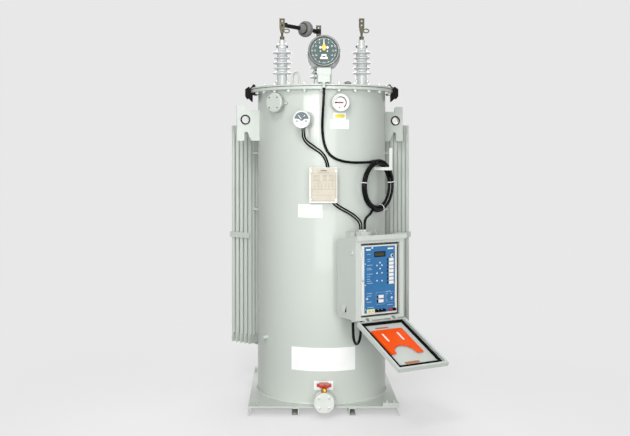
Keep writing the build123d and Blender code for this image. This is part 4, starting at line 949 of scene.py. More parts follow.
class LampRole(Enum):
    """What each lamp of the studio does."""

    FRONT = "front_softbox"
    KEY = "key_softbox"
    STRIP = "strip_softbox"
    FILL = "fill_softbox"
    TOP = "top_softbox"
    REAR = "rear_softbox"


@dataclass
class Studio:
    """Plain soft light, a pale floor and the photograph's camera, in metres."""

    camera_at: Point = (-0.1472, -4.872, 1.320)
    lens: float = 52.0
    shift: Flat = (0.0333, -0.1095)
    background: str = "#E8E8E8"
    floor_plain: str = "#9A9A9A"
    floor_lit: str = "#B9B9B9"
    floor_glow: str = "#AFAFAF"
    world_level: float = 0.22
    floor_radius: float = 9.0
    fade_start: float = 0.9
    fade_end: float = 2.2

    def build(self) -> None:
        """Makes the camera, the world, the floor and the lamps."""
        scene = bpy.context.scene
        scene.view_settings.view_transform = "Standard"
        self.aim_camera()
        self.light_world()
        self.lay_floor()
        for role, at, towards, size, power in (
            (LampRole.FRONT, (0.45, -5.8, 1.3), (0.0, 0.0, 0.85), (3.6, 3.0), 176.0),
            (LampRole.KEY, (-0.8, -3.8, 3.7), (0.0, 0.0, 1.0), (1.0, 1.0), 56.0),
            (LampRole.STRIP, (-1.5, -4.3, 1.64), (0.0, 0.0, 1.6), (2.2, 0.4), 50.0),
            (LampRole.FILL, (4.2, -2.4, 1.8), (0.0, 0.0, 1.0), (2.0, 2.4), 9.0),
            (LampRole.TOP, (0.0, -0.8, 4.4), (0.0, 0.0, 1.2), (3.0, 3.0), 26.0),
            (LampRole.REAR, (0.3, 4.6, 3.0), (0.0, 0.0, 1.0), (3.4, 2.0), 120.0),
        ):
            self.hang_lamp(role, at, towards, size, power)

    def aim_camera(self) -> None:
        """Makes the camera, level and looking away from the front."""
        data = bpy.data.cameras.new("camera")
        data.lens = self.lens
        data.sensor_width = 36.0
        data.shift_x, data.shift_y = self.shift
        camera = stand("camera", data)
        camera.location = self.camera_at
        camera.rotation_euler = (radians(90.0), 0.0, 0.0)
        bpy.context.scene.camera = camera

    def light_world(self) -> None:
        """Lights the world evenly, and shows the background to the camera."""
        world = bpy.data.worlds.new("studio")
        bpy.context.scene.world = world
        world.use_nodes = True
        tree = world.node_tree
        tree.nodes.clear()
        even = {"Color": (1, 1, 1, 1), "Strength": self.world_level}
        plain = add_node(tree, "ShaderNodeBackground", even).outputs[0]
        shade = {"Color": linear(self.background), "Strength": 1.0}
        shown = add_node(tree, "ShaderNodeBackground", shade).outputs[0]
        both = add_node(tree, "ShaderNodeMixShader", {0: self.seen(tree), 1: plain, 2: shown})
        add_node(tree, "ShaderNodeOutputWorld", {0: both.outputs[0]})

    def seen(self, tree: Tree) -> Socket:
        """Returns 1 for rays that show the backdrop, and 0 for those that light."""
        path = add_node(tree, "ShaderNodeLightPath").outputs
        seen = path["Is Camera Ray"]
        for name in ("Is Glossy Ray", "Is Transmission Ray"):
            pair = {0: seen, 1: path[name]}
            seen = add_node(tree, "ShaderNodeMath", pair, operation="MAXIMUM").outputs[0]
        return seen

    def lay_floor(self) -> None:
        """Lays a pale floor that fades into the background all round."""
        part = bmesh.new()
        bmesh.ops.create_circle(part, cap_ends=True, segments=96, radius=self.floor_radius)
        data = bpy.data.meshes.new("floor")
        part.to_mesh(data)
        part.free()
        floor = stand("floor", data)
        paint = bpy.data.materials.new("studio_floor")
        paint.use_nodes = True
        tree = paint.node_tree
        tree.nodes.clear()
        place = add_node(tree, "ShaderNodeTexCoord").outputs["Object"]
        away = add_node(tree, "ShaderNodeVectorMath", {0: place}, operation="LENGTH")
        limits = {"Value": away.outputs["Value"], 1: self.fade_start, 2: self.fade_end}
        faded = add_node(tree, "ShaderNodeMapRange", limits, interpolation_type="SMOOTHSTEP")
        # The floor that is seen is half lit, so that it keeps the shadow, and half glow.
        lit, held, lift, glow = (
            add_node(tree, kind, {"Color": linear(colour)}).outputs[0]
            for kind, colour in (
                ("ShaderNodeBsdfDiffuse", self.floor_plain),
                ("ShaderNodeBsdfDiffuse", self.floor_lit),
                ("ShaderNodeEmission", self.floor_glow),
                ("ShaderNodeEmission", self.background),
            )
        )
        shown = add_node(tree, "ShaderNodeAddShader", {0: held, 1: lift}).outputs[0]
        layers = {0: faded.outputs[0], 1: shown, 2: glow}
        backdrop = add_node(tree, "ShaderNodeMixShader", layers).outputs[0]
        both = add_node(tree, "ShaderNodeMixShader", {0: self.seen(tree), 1: lit, 2: backdrop})
        add_node(tree, "ShaderNodeOutputMaterial", {0: both.outputs[0]})
        data.materials.append(paint)

    def hang_lamp(
        self, role: LampRole, at: Point, towards: Point, size: Flat, power: float
    ) -> None:
        """Hangs a softbox.

        Args:
            role: What it is for.
            at: Where it hangs.
            towards: What it points at.
            size: Its width and height.
            power: Its power in watts.
        """
        data = bpy.data.lights.new(role.value, "AREA")
        data.shape = "RECTANGLE"
        data.size, data.size_y = size
        data.energy = power
        lamp = stand(role.value, data)
        lamp.location = at
        aim = Vector(towards) - Vector(at)
        lamp.rotation_euler = aim.to_track_quat("-Z", "Y").to_euler()


# --- Cables ---

INDICATOR_START: tuple[Point, ...] = (
    (0.0, -0.39, 1.6223),
    (0.0, -0.39, 1.588),
    (-0.004, -0.386, 1.52),
    (-0.008, -0.364, 1.442),
    (-0.004, -0.351, 1.374),
    (0.009, -0.349, 1.324),
    (0.03, -0.3485, 1.291),
    (0.06, -0.3435, 1.27),
    (0.098, -0.335, 1.258),
    (0.143, -0.3185, 1.252),
    (0.203, -0.294, 1.252),
)
INDICATOR_END: tuple[Point, ...] = (
    (0.2515, -0.263, 1.013),
    (0.243, -0.276, 1.0),
    (0.235, -0.293, 0.991),
    (0.222, -0.318, 0.984),
    (0.212, -0.34, 0.977),
    (0.2045, -0.359, 0.964),
    (0.2027, -0.3678, 0.945),
    (0.2027, -0.3678, 0.922),
)
GAUGE_FIRST: tuple[Point, ...] = (
    (-0.106, -0.4033, 1.404),
    (-0.106, -0.4033, 1.388),
    (-0.1035, -0.396, 1.374),
    (-0.094, -0.378, 1.356),
    (-0.074, -0.3585, 1.336),
    (-0.044, -0.3485, 1.317),
    (-0.016, -0.347, 1.298),
    (0.004, -0.347, 1.274),
    (0.014, -0.3465, 1.243),
    (0.018, -0.346, 1.2),
    (0.0195, -0.3455, 1.15),
    (0.023, -0.3455, 1.101),
    (0.034, -0.345, 1.064),
    (0.057, -0.342, 1.037),
    (0.088, -0.3355, 1.017),
    (0.121, -0.33, 1.0),
    (0.149, -0.338, 0.981),
    (0.168, -0.358, 0.964),
    (0.1755, -0.376, 0.951),
    (0.1774, -0.3819, 0.9365),
    (0.1774, -0.3819, 0.922),
)
GAUGE_SECOND: tuple[Point, ...] = (
    (-0.0954, -0.4062, 1.404),
    (-0.0954, -0.4062, 1.389),
    (-0.093, -0.399, 1.375),
    (-0.084, -0.381, 1.361),
    (-0.063, -0.3595, 1.346),
    (-0.036, -0.3495, 1.327),
    (-0.009, -0.347, 1.308),
    (0.012, -0.347, 1.281),
    (0.024, -0.346, 1.247),
    (0.029, -0.3455, 1.201),
    (0.0305, -0.345, 1.151),
    (0.034, -0.3445, 1.104),
    (0.044, -0.3435, 1.071),
    (0.065, -0.3405, 1.046),
    (0.095, -0.3335, 1.027),
    (0.126, -0.3285, 1.01),
    (0.155, -0.334, 0.992),
    (0.176, -0.35, 0.972),
    (0.1863, -0.37, 0.956),
    (0.1879, -0.3761, 0.939),
    (0.1879, -0.3761, 0.922),
)
CABINET_LOOP: tuple[Point, ...] = (
    (0.137, -0.49, 0.4877),
    (0.137, -0.49, 0.452),
    (0.139, -0.485, 0.411),
    (0.147, -0.467, 0.38),
    (0.159, -0.444, 0.369),
    (0.171, -0.421, 0.376),
    (0.1795, -0.405, 0.405),
    (0.182, -0.4, 0.45),
    (0.182, -0.4, 0.4877),
)


@dataclass
class Cables:
    """The control cables: one coiled indicator lead, two gauge leads, a loop.

    The coil hangs on its hanger at the right of the tank. Its turns differ in
    size and lie two deep, and nylon ties hold them at three places.
    """

    lead_diameter: float = 13.5
    gauge_diameter: float = 8.0
    coil_azimuth: float = 50.0
    coil_reach: float = 364.0
    coil_height: float = 1134.0
    coil_radius: float = 119.5
    bundle_half: float = 9.7
    bundle_fan: float = 0.3
    turn_points: int = 16
    coil_start: float = 112.0
    coil_sweep: float = 1282.5
    ties: tuple[float, ...] = (172.0, 8.0, 285.0)

    def build(self) -> None:
        """Makes the cables and the ties on the coil."""
        ties = self.tie_coil()
        route = (*INDICATOR_START, *self.coil_route(), *INDICATOR_END)
        lead = self.cable("indicator_lead", route, self.lead_diameter)
        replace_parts(lead, "indicator_cable", "cable_coil", "indicator_cable_tail")
        for name, points, diameter, length, node in (
            ("gauge_lead_first", GAUGE_FIRST, self.gauge_diameter, 0.636, "gauge_cable_1"),
            ("gauge_lead_second", GAUGE_SECOND, self.gauge_diameter, 0.636, "gauge_cable_2"),
            ("cabinet_loop_lead", CABINET_LOOP, self.lead_diameter, 0.282, "cabinet_loop"),
        ):
            lead = self.cable(name, points, diameter)
            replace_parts(lead, node)

    def coil_place(self, angle: float, radius: float, depth: float) -> Point:
        """Returns a point of the coil in metres.

        Args:
            angle: Degrees round the coil, from its right, upwards.
            radius: Distance from the coil's middle.
            depth: Distance in front of the coil's middle plane.
        """
        local = Vector((cos(radians(angle)) * radius, sin(radians(angle)) * radius, depth))
        spot = facing(self.coil_azimuth, self.coil_reach, self.coil_height) @ local
        return (spot.x * MM, spot.y * MM, spot.z * MM)

    def bundle_reach(self, angle: float) -> float:
        """Returns how far a turn lies from the bundle's middle at an angle."""
        return self.bundle_half * (1.0 + self.bundle_fan * (0.5 + 0.5 * cos(radians(angle))))

    def coil_route(self) -> tuple[Point, ...]:
        """Returns the turns of the coil, which run clockwise from its top.

        The turns lie round the bundle's middle, a quarter apart, and change
        places slowly as they go, so that they never cross.
        """
        points = []
        # The smooth line passes inside its control points by this much.
        outside = 1.0 / cos(pi / self.turn_points)
        for step in range(round(self.coil_sweep / 360.0 * self.turn_points) + 1):
            turned = step * 360.0 / self.turn_points
            angle = self.coil_start - turned
            spot = radians(-45.0 - turned / 4.0)
            reach = self.bundle_reach(angle)
            radius = (self.coil_radius + reach * cos(spot)) * outside
            points.append(self.coil_place(angle, radius, reach * sin(spot)))
        return tuple(points)

    def cable(self, name: str, points: Sequence[Point], diameter: float) -> Object:
        """Lays a cable on a smooth line.

        Args:
            name: Its name.
            points: Control points of its line, in metres.
            diameter: Its diameter.

        Returns:
            The cable.
        """
        data = smooth_line(name, points, diameter / 2 * MM, 5)
        data.materials.append(CABLE_SHEATH.material())
        lead = stand(name, data)
        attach(lead, Body.REGULATOR.value)
        return lead

    def tie_coil(self) -> Object:
        """Puts nylon ties round the coil's bundle."""
        shape = Shape()
        middle = facing(self.coil_azimuth, self.coil_reach, self.coil_height)
        for angle in self.ties:
            spot = middle @ tilt(angle, "Z") @ shift(x=self.coil_radius)
            reach = self.bundle_reach(angle) + self.lead_diameter / 2 + 0.8
            ring = [radians(30.0 * step) for step in range(12)]
            points = [(cos(a) * reach * 1.02, 0.0, sin(a) * reach * 1.02) for a in ring]
            for across in (-1.3, 0.0, 1.3):
                hoop = melted(smooth_line("tie", points, 0.9, 3, closed=True))
                shape.take(hoop, spot @ shift(y=across), NYLON_TIE)
            lock = spot @ tilt(-60.0, "Y") @ shift(x=reach + 1.2)
            shape.box((3.6, 5.0, 5.5), lock, NYLON_TIE, 0.6)
        return shape.piece("coil_ties", "black_cable")


# --- Tank, cover and base ---


@dataclass
class Tank:
    """The round tank with its bolted cover, bare labels and small fittings."""

    radius: float = 340.0
    rim_bottom: float = 1618.0
    gasket_bottom: float = 1632.0
    cover_bottom: float = 1635.0
    cover_top: float = 1643.0
    bolt_count: int = 26
    bolt_circle: float = 359.0
    bolt_turn: float = -1.5
    clamp_azimuth: float = 88.0
    base_top: float = 48.0
    lug_eye: Point = (403.64, 100.64, 1474.0)
    lug_turn: float = 104.0
    vent_place: Flat = (135.0, -100.0)

    def build(self) -> None:
        """Makes the pieces of the tank."""
        for node in ("tank_shell", "tank_rim", "cover", "cover_eye"):
            recast(f"{node}_smooth", node, "tank_paint", TANK_PAINT)
        self.bolt_cover()
        self.weld_seams()
        self.lay_labels()
        self.fit_cover()
        self.detail_clamps()
        self.line_eyes()

    def bolt_cover(self) -> None:
        """Bolts the cover down: heads under the rim, nuts with studs on top."""
        heads, nuts = Shape(), Shape()
        for index in range(self.bolt_count):
            azimuth = self.bolt_turn + index * 360.0 / self.bolt_count
            if abs(abs(azimuth if azimuth < 180 else azimuth - 360) - self.clamp_azimuth) < 5.0:
                continue
            under = facing(azimuth, 0.0, 0.0) @ shift(z=self.bolt_circle, y=self.rim_bottom)
            # Heads and nuts are nearly white painted highlight.
            heads.bolt(under @ tilt(90.0), BOLT_PAINTED_HIGHLIGHT, 17.0, 9.5, 13.0)
            over = facing(azimuth, 0.0, 0.0) @ shift(z=self.bolt_circle, y=self.cover_top)
            nuts.bolt(over @ tilt(-90.0), BOLT_PAINTED_HIGHLIGHT, 17.0, 7.5, 13.0, stud=3.0)
        heads.piece("rim_bolt_heads", "tank_paint")
        nuts.piece("cover_nuts", "tank_paint")

    def weld_seams(self) -> None:
        """Lays the rim's weld, the gasket's squeezed edge and the seam at the back."""
        shape = Shape()
        bead = [(self.radius - 1.0, 0.0), (self.radius + 5.5, 0.0), (self.radius + 4.6, -2.4)]
        bead += [(self.radius + 2.2, -4.8), (self.radius - 1.0, -6.5)]
        shape.turned(bead, upright(0, 0, self.rim_bottom), TANK_PAINT, 96, closed=True)
        bulge = [(372.0, self.gasket_bottom + 0.1), (377.3, self.gasket_bottom + 0.1)]
        bulge += [(377.3, self.cover_bottom - 0.1), (372.0, self.cover_bottom - 0.1)]
        shape.turned(bulge, upright(0, 0, 0), RUBBER, 96, closed=True)
        seam = facing(180.0, self.radius, (self.base_top + self.rim_bottom) / 2)
        length = self.rim_bottom - self.base_top - 30.0
        shape.box((9.0, length, 2.4), seam, TANK_PAINT, 1.1, 3)
        shape.piece("tank_welds", "tank_paint")

    def lay_labels(self) -> None:
        """Lays the bare vinyl sheets where the real tank has its labels."""
        on, over = self.radius + 0.25, self.radius + 0.8
        labels = {
            "label_band": (
                ((66.0, 34.0), 13.7, on, 1484.0, VINYL_WHITE, 0.5),
                ((50.0, 17.0), 13.7, over, 1484.0, VINYL_YELLOW, 0.3),
                ((97.0, 46.0), 13.7, on, 1443.5, VINYL_WHITE, 0.5),
            ),
            "label_square": (
                ((123.0, 65.0), -11.4, on, 1010.5, VINYL_WHITE, 0.5),
                ((56.0, 59.0), -16.6, over, 1010.5, VINYL_CREAM, 0.3),
            ),
            "front_sign": (((332.0, 116.0), 0.0, on, 271.0, VINYL_WHITE, 0.5),),
            "valve_label": (((96.0, 45.0), 0.0, on, 142.5, VINYL_WHITE, 0.5),),
        }
        for name, sheets in labels.items():
            shape = Shape()
            for sheet in sheets:
                shape.wrapped(*sheet)
            shape.piece(name, "panel_white")

    def fit_cover(self) -> None:
        """Fits the small vent on the cover, left of the right bushing."""
        shape = Shape()
        vent = [(0.0, 0.0), (15.0, 0.0), (15.0, 6.0), (11.0, 8.0), (11.0, 15.0), (17.0, 17.0)]
        vent += [(19.0, 22.0), (17.0, 28.0), (9.0, 32.0), (0.0, 33.0)]
        shape.turned(vent, upright(*self.vent_place, self.cover_top), VENT_GREY, 32)
        shape.piece("cover_vent", "tank_paint")

    def detail_clamps(self) -> None:
        """Casts the backs of the two black rim clamps, and adds their bolts."""
        shape = Shape()
        back = [(386.0, 1590.0), (398.0, 1586.0), (408.0, 1600.0), (408.0, 1638.0)]
        back += [(390.0, 1651.0), (384.0, 1651.0)]
        for azimuth in (-self.clamp_azimuth, self.clamp_azimuth):
            side = facing(azimuth, 0.0, 0.0, -27.0) @ tilt(90.0, "Y")
            turned = [(-reach, height) for reach, height in back]
            shape.slab(turned, 54.0, side, BLACK_IRON, 2.5)
            for across in (-17.0, 17.0):
                top = facing(azimuth, 0.0, 0.0, across) @ shift(z=362.0, y=1652.0)
                shape.bolt(top @ tilt(-90.0), BLACK_IRON, 15.0, 7.0, 10.0, stud=3.0)
        shape.piece("clamp_bolts", "black_casting")

    def line_eyes(self) -> None:
        """Paints the raised rings round the lifting eyes black."""
        shape = Shape()
        ring = [(18.9, -11.5), (25.9, -11.5), (25.9, 11.5), (18.9, 11.5)]
        x, y, z = self.lug_eye
        for side in (-1, 1):
            eye = upright(side * x, side * y, z, self.lug_turn - 90.0) @ tilt(-90.0)
            shape.turned(ring, eye, BLACK_IRON, 64, closed=True, bevel=1.2)
        shape.piece("lug_eye_rings", "black_casting")


class Radiators:
    """The two fluted banks with their headers."""

    def build(self) -> None:
        """Makes the radiators' pieces."""
        for side in ("left", "right"):
            for part in ("panels", "headers"):
                node = f"radiator_{side}_{part}"
                # The panels and headers are painted paler as painted light.
                recast(f"{node}_smooth", node, "tank_paint", RADIATOR_PAINTED_LIGHT)


# --- Bushings, terminals and the arrester ---


@dataclass
class Bushing:
    """A porcelain bushing with rounded sheds, its clamps and its cap bolts."""

    name: str
    x: float
    y: float
    core: float = 27.0
    foot: float = 29.0
    large: float = 49.5
    small: float = 43.5
    foot_z: float = 1643.3
    sheds: tuple[float, ...] = (1717.0, 1744.0, 1771.0, 1798.0, 1825.0)
    neck: float = 22.5
    top: float = 1865.0
    nut_reach: float = 40.0
    nut_rise: float = 27.0

    def build(self) -> None:
        """Makes the bushing's pieces."""
        body = Shape()
        body.turned(self.profile(), upright(self.x, self.y, 0.0), PORCELAIN, 72)
        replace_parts(body.piece(self.name + "_porcelain", "porcelain", 50.0), self.name)
        self.clamp_down()
        self.bolt_cap()

    def profile(self) -> list[Flat]:
        """Returns the porcelain's outline, from its foot up its sheds."""
        line: list[Flat] = [(0.0, self.foot_z), (self.foot, self.foot_z), (self.foot, 1700.0)]
        for index, z in enumerate(self.sheds):
            wide = self.large if index % 2 == 0 else self.small
            line += [
                (self.core + 1.5, z - 5.5),
                (self.core + 4.5, z - 3.0),
                (wide - 7.0, z - 2.0),
                (wide - 3.5, z - 2.2),
                (wide - 1.0, z - 0.8),
                (wide, z + 1.8),
                (wide - 0.8, z + 4.6),
                (wide - 3.0, z + 6.4),
                (wide - 8.0, z + 7.8),
                (self.core + 5.0, z + 11.5),
                (self.core + 1.2, z + 14.0),
            ]
        line += [(self.core - 1.0, 1843.0), (self.neck + 1.0, 1849.0), (self.neck, 1853.0)]
        line += [(self.neck, self.top), (0.0, self.top)]
        return line

    def clamp_down(self) -> None:
        """Puts a nut on a stud over each of the four hooked clamps."""
        shape = Shape()
        for turn in (45.0, 135.0, 225.0, 315.0):
            place = upright(self.x, self.y, self.foot_z, turn)
            shape.bolt(place @ shift(x=self.nut_reach, z=self.nut_rise), ZINC, 11.0, 6.0, 7.0, 4.0)
        shape.piece(self.name + "_clamps", "tank_paint")

    def bolt_cap(self) -> None:
        """Sheathes the cap in its alloy, with two dark bolts in the ears under it."""
        shape = Shape()
        for side in (-1, 1):
            place = upright(self.x, self.y, 1861.0) @ tilt(90.0 * side, "Y") @ shift(z=19.0)
            shape.rod(4.5, 12.0, place, DARK_STEEL, 12, bevel=1.0)
            shape.rod(6.8, 5.5, place @ shift(z=5.0), DARK_STEEL, 6, bevel=0.8)
        band = [(self.neck + 0.1, 1853.0), (self.neck + 3.0, 1853.0), (self.neck + 3.0, 1864.8)]
        band += [(self.neck + 0.1, 1864.8)]
        axis = upright(self.x, self.y, 0.0)
        shape.turned(band, axis, CAP_ALLOY, 40, closed=True, bevel=0.6)
        shell = [(15.5, 1865.6), (21.9, 1865.6), (16.95, 1879.5), (16.95, 1896.2), (15.5, 1896.2)]
        shape.turned(shell, axis, CAP_ALLOY, 40, closed=True, bevel=0.5)
        shape.box((50.6, 13.6, 13.6), upright(self.x, self.y, 1874.3), CAP_ALLOY, 1.5)
        shape.piece(self.name + "_cap_bolts", "terminal_bronze")


@dataclass
class Arrester:
    """The small arrester that hangs between two terminals on its leads."""

    start: Flat = (-210.0, -60.0)
    end: Flat = (-10.0, 213.0)
    height: float = 1976.3

    def build(self) -> None:
        """Makes the arrester's rounded housing and the bands on its leads."""
        first = Vector((*self.start, self.height))
        place = along(first, Vector((*self.end, self.height)))
        shape = Shape()
        outline = [(0.0, 150.0), (11.5, 150.0), (14.0, 154.0), (20.0, 170.0), (31.0, 188.0)]
        outline += [(38.0, 194.0), (42.5, 200.0), (44.0, 207.0), (44.0, 217.0), (42.5, 224.0)]
        outline += [(38.0, 228.0), (12.0, 229.5), (0.0, 229.5)]
        shape.turned(outline, place, GREY_POLYMER, 72)
        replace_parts(shape.piece("arrester_housing", "arrester_polymer", 50.0), "arrester")
        bands = Shape()
        bands.turned(
            [(30.0, 186.2), (33.2, 188.8), (26.0, 182.0), (20.0, 170.2)],
            place,
            BRONZE,
            48,
            closed=True,
        )
        bands.rod(13.0, 12.0, place @ shift(z=146.0), DARK_STEEL, 24, bevel=2.0)
        bands.piece("arrester_bands", "terminal_bronze")


# --- Dials and gauges ---


def ticks(
    shape: Shape,
    angles: Sequence[float],
    reach: float,
    size: Flat,
    place: Matrix,
    finish: Finish,
) -> None:
    """Adds marks round a dial.

    Args:
        shape: The shape that takes them.
        angles: Degrees clockwise from the top.
        reach: Distance of their middles from the dial's.
        size: Width and length of a mark.
        place: The dial's local frame.
        finish: Their finish.
    """
    for angle in angles:
        spot = place @ tilt(-angle, "Z") @ shift(y=reach)
        shape.box((size[0], size[1], 0.4), spot, finish)


def numeral(shape: Shape, text: str, height: float, place: Matrix, finish: Finish) -> None:
    """Adds a plain number, centred on its place.

    Args:
        shape: The shape that takes it.
        text: The number.
        height: Its letter height.
        place: Its local frame.
        finish: Its finish.
    """
    data = bpy.data.curves.new("numeral", "FONT")
    data.body = text
    data.size = height * 1.4
    data.extrude = 0.2
    data.resolution_u = 3
    data.align_x = "CENTER"
    data.align_y = "CENTER"
    shape.take(melted(data), place, finish)


@dataclass
class PositionIndicator:
    """The tap position indicator over the front of the cover."""

    height: float = 1804.0
    face_reach: float = 394.0
    radius: float = 75.0
    hub_rise: float = 17.0

    def build(self) -> None:
        """Makes the indicator's bezel, face and hands."""
        recast("indicator_housing", "indicator_case", "gauge_metal", GAUGE_PAINT)
        place = facing(0.0, self.face_reach, self.height)
        bezel = Shape()
        ring = [(self.radius + 0.1, -14.0), (self.radius + 2.2, -13.0), (self.radius + 2.2, 3.0)]
        ring += [(self.radius + 0.6, 6.0), (self.radius - 1.0, 7.0), (self.radius - 3.6, 6.6)]
        ring += [(self.radius - 5.2, 5.0), (self.radius - 5.2, 0.2), (self.radius - 4.0, 0.1)]
        bezel.turned(ring, place, SPUN_ALUMINIUM, 96, closed=True)
        # The bezel's outer edge ring and inner ring are dark grey painted shade.
        edge = [(77.1, -11.0), (77.9, -10.5), (77.9, 1.0), (77.1, 2.0)]
        bezel.turned(edge, place, GAUGE_PAINTED_SHADE, 96, closed=True)
        inner = [(69.6, 0.1), (69.6, 4.6), (67.6, 3.4), (66.8, 0.8), (66.8, 0.1)]
        bezel.turned(inner, place, GAUGE_PAINTED_SHADE, 96, closed=True)
        bezel.piece("indicator_bezel", "gauge_metal", 40.0)
        self.draw_face(place)
        self.fit_hands(place)
        self.fit_screws()

    def draw_face(self, place: Matrix) -> None:
        """Draws the dial's face.

        Args:
            place: The dial's local frame.
        """
        face = Shape()
        face.rod(69.4, 0.6, place, DIAL_SLATE, 64)
        top = place @ shift(z=0.7)
        ticks(face, [i * 7.5 for i in range(48)], 60.0, (1.5, 4.0), top, INK_WHITE)
        ticks(face, [i * 22.5 for i in range(16)], 59.0, (4.5, 6.0), top, INK_WHITE)
        for index, text in enumerate(("16", "12", "8", "4", "0", "4", "8", "12", "16")):
            angle = radians(-120.0 + 30.0 * index)
            spot = top @ shift(45.0 * sin(angle), 45.0 * cos(angle))
            if text != "0":
                numeral(face, text, 9.0, spot, INK_WHITE)
        window = [(-19.0, -12.0), (19.0, -12.0), (19.0, -3.0), (12.5, 0.0), (12.5, 12.0)]
        window += [(-12.5, 12.0), (-12.5, 0.0), (-19.0, -3.0)]
        face.slab(window, 0.4, top @ shift(y=-29.0), INK_WHITE)
        face.box((15.0, 6.0, 0.5), top @ shift(y=-29.0, z=0.5), DARK_STEEL)
        for x in (-17.0, 17.0):
            face.rod(3.4, 0.5, top @ shift(x, -2.0), INK_WHITE, 20)
        face.piece("indicator_face", "gauge_metal")

    def fit_hands(self, place: Matrix) -> None:
        """Fits the yellow hand and the two drag hands.

        Args:
            place: The dial's local frame.
        """
        hands = Shape()
        hub = place @ shift(y=self.hub_rise, z=1.6)
        body = [(-9.0, 5.0), (-5.0, 15.0), (5.0, 15.0), (9.0, 5.0), (9.0, -7.0), (5.0, -16.0)]
        body += [(-5.0, -16.0), (-9.0, -7.0)]
        hands.slab(body, 1.0, hub, NEEDLE_YELLOW, 0.3)
        tip = [(-3.4, 14.0), (3.4, 14.0), (2.2, 40.0), (-2.2, 40.0)]
        hands.slab(tip, 1.0, hub, NEEDLE_PALE, 0.2)
        hands.rod(5.0, 3.0, hub, NEEDLE_YELLOW, 24, bevel=0.8)
        for side in (-1, 1):
            hands.box((14.0, 4.0, 0.7), hub @ shift(11.0 * side, -1.0, -0.8), NEEDLE_PALE)
            hands.rod(6.4, 0.9, hub @ shift(17.0 * side, -1.0, -0.9), NEEDLE_PALE, 24)
        hands.piece("indicator_hands", "gauge_metal")

    def fit_screws(self) -> None:
        """Fits the side screws of the boxes under the dial and the bezel's lugs."""
        shape = Shape()
        for z in (1711.0, 1694.0, 1672.0):
            spot = facing(0.0, 362.0, z, -34.5) @ tilt(-90.0, "Y")
            shape.rod(2.6, 8.0, spot, DARK_STEEL, 12)
            shape.rod(4.6, 4.5, spot @ shift(z=4.0), DARK_STEEL, 6, bevel=0.6)
        for x in (-82.0, 82.0):
            lug = facing(0.0, 352.0, self.height - 2.0 + x / 10.0, x * 0.985)
            shape.box((5.0, 16.0, 12.0), lug, GAUGE_PAINT, 1.2)
        shape.piece("indicator_screws", "gauge_metal")


@dataclass
class RoundGauge:
    """A round gauge on the tank: a housing in dark grey painted shade, a white rim and a white
    face.
    """

    name: str
    node: str
    azimuth: float
    height: float
    reach: float
    radius: float
    skirt: float
    recess: float = 4.0

    def build(self) -> None:
        """Makes the gauge's housing, face and rim."""
        # The housing is dark grey painted shade for its shaded sides.
        recast(f"{self.name}_housing", self.node, "gauge_metal", GAUGE_PAINTED_SHADE)
        place = facing(self.azimuth, self.reach - self.recess, self.height)
        face = Shape()
        face.rod(self.radius - 6.3, 0.6, place, DIAL_WHITE, 64)
        self.draw_face(face, place)
        face.piece(f"{self.name}_face", "gauge_metal")
        edge, skirt = self.radius, self.skirt
        ring = [(edge - 6.4, 0.2), (edge - 6.4, 4.2), (edge - 4.5, 6.0), (edge - 1.5, 6.0)]
        ring += [(edge + 0.4, 4.0), (edge + 0.6, -skirt), (edge + 0.1, -skirt - 0.5)]
        rim = Shape()
        rim.turned(ring, place, GAUGE_WHITE, 64, closed=True)
        rim.piece(f"{self.name}_rim", "gauge_metal", 40.0)

    def draw_face(self, face: Shape, place: Matrix) -> None:
        """Draws what is particular to the gauge's face.

        Args:
            face: The shape that takes it.
            place: The face's local frame.
        """


class LevelGauge(RoundGauge):
    """The round oil level gauge, with a red pointer on a white face."""

    def draw_face(self, face: Shape, place: Matrix) -> None:
        """Draws the scale's dark band and lays the pointer over it.

        Args:
            face: The shape that takes it.
            place: The face's local frame.
        """
        top = place @ shift(z=0.7)
        ticks(face, list(range(-20, 141, 5)), 28.0, (3.2, 4.6), top, INK_BLACK)
        ticks(face, [-62.0, -50.0, -38.0, -28.0], 28.0, (2.0, 5.0), top, INK_BLACK)
        face.slab([(-11.0, -27.0), (-2.0, -27.0), (-5.5, -20.0)], 0.4, top, INK_BLACK)
        face.box((38.0, 6.0, 0.9), top @ shift(x=-6.0, z=1.2), POINTER_RED, 0.3)
        face.box((9.0, 7.0, 1.2), top @ shift(x=-25.0, z=1.3), INK_BLACK, 0.3)


class Thermometer(RoundGauge):
    """The round oil thermometer, half blue and half white, with two hands."""

    def draw_face(self, face: Shape, place: Matrix) -> None:
        """Draws the blue half and lays the two hands and their rings over it.

        Args:
            face: The shape that takes it.
            place: The face's local frame.
        """
        half = [(36.0 * cos(radians(a)), 36.0 * sin(radians(a))) for a in range(4, 177, 8)]
        top = place @ shift(z=0.65)
        face.slab(half + [(-14.0, 2.0), (0.0, -9.0), (14.0, 2.0)], 0.3, top, DIAL_BLUE)
        over = top @ shift(z=0.45)
        for lean, near, far in ((-38.0, 1.0, 27.0), (40.0, 17.0, 29.0)):
            hand = over @ tilt(-lean, "Z") @ shift(y=(near + far) / 2, z=0.5)
            face.box((9.0, far - near + 4.0, 0.3), hand @ shift(z=-0.3), INK_BLACK)
            face.box((5.0, far - near, 0.6), hand, INK_WHITE, 0.2)
        ring = [(2.6, 0.0), (4.8, 0.0), (4.8, 0.4), (2.6, 0.4)]
        for x in (-24.0, 22.0):
            face.turned(ring, over @ shift(x, -9.0), DARK_STEEL, 20, closed=True)
        ticks(face, [-160.0, 180.0, 160.0], 25.0, (6.0, 1.8), top, PLATE_INK)


# --- Hand hole, drain valve and nameplate ---


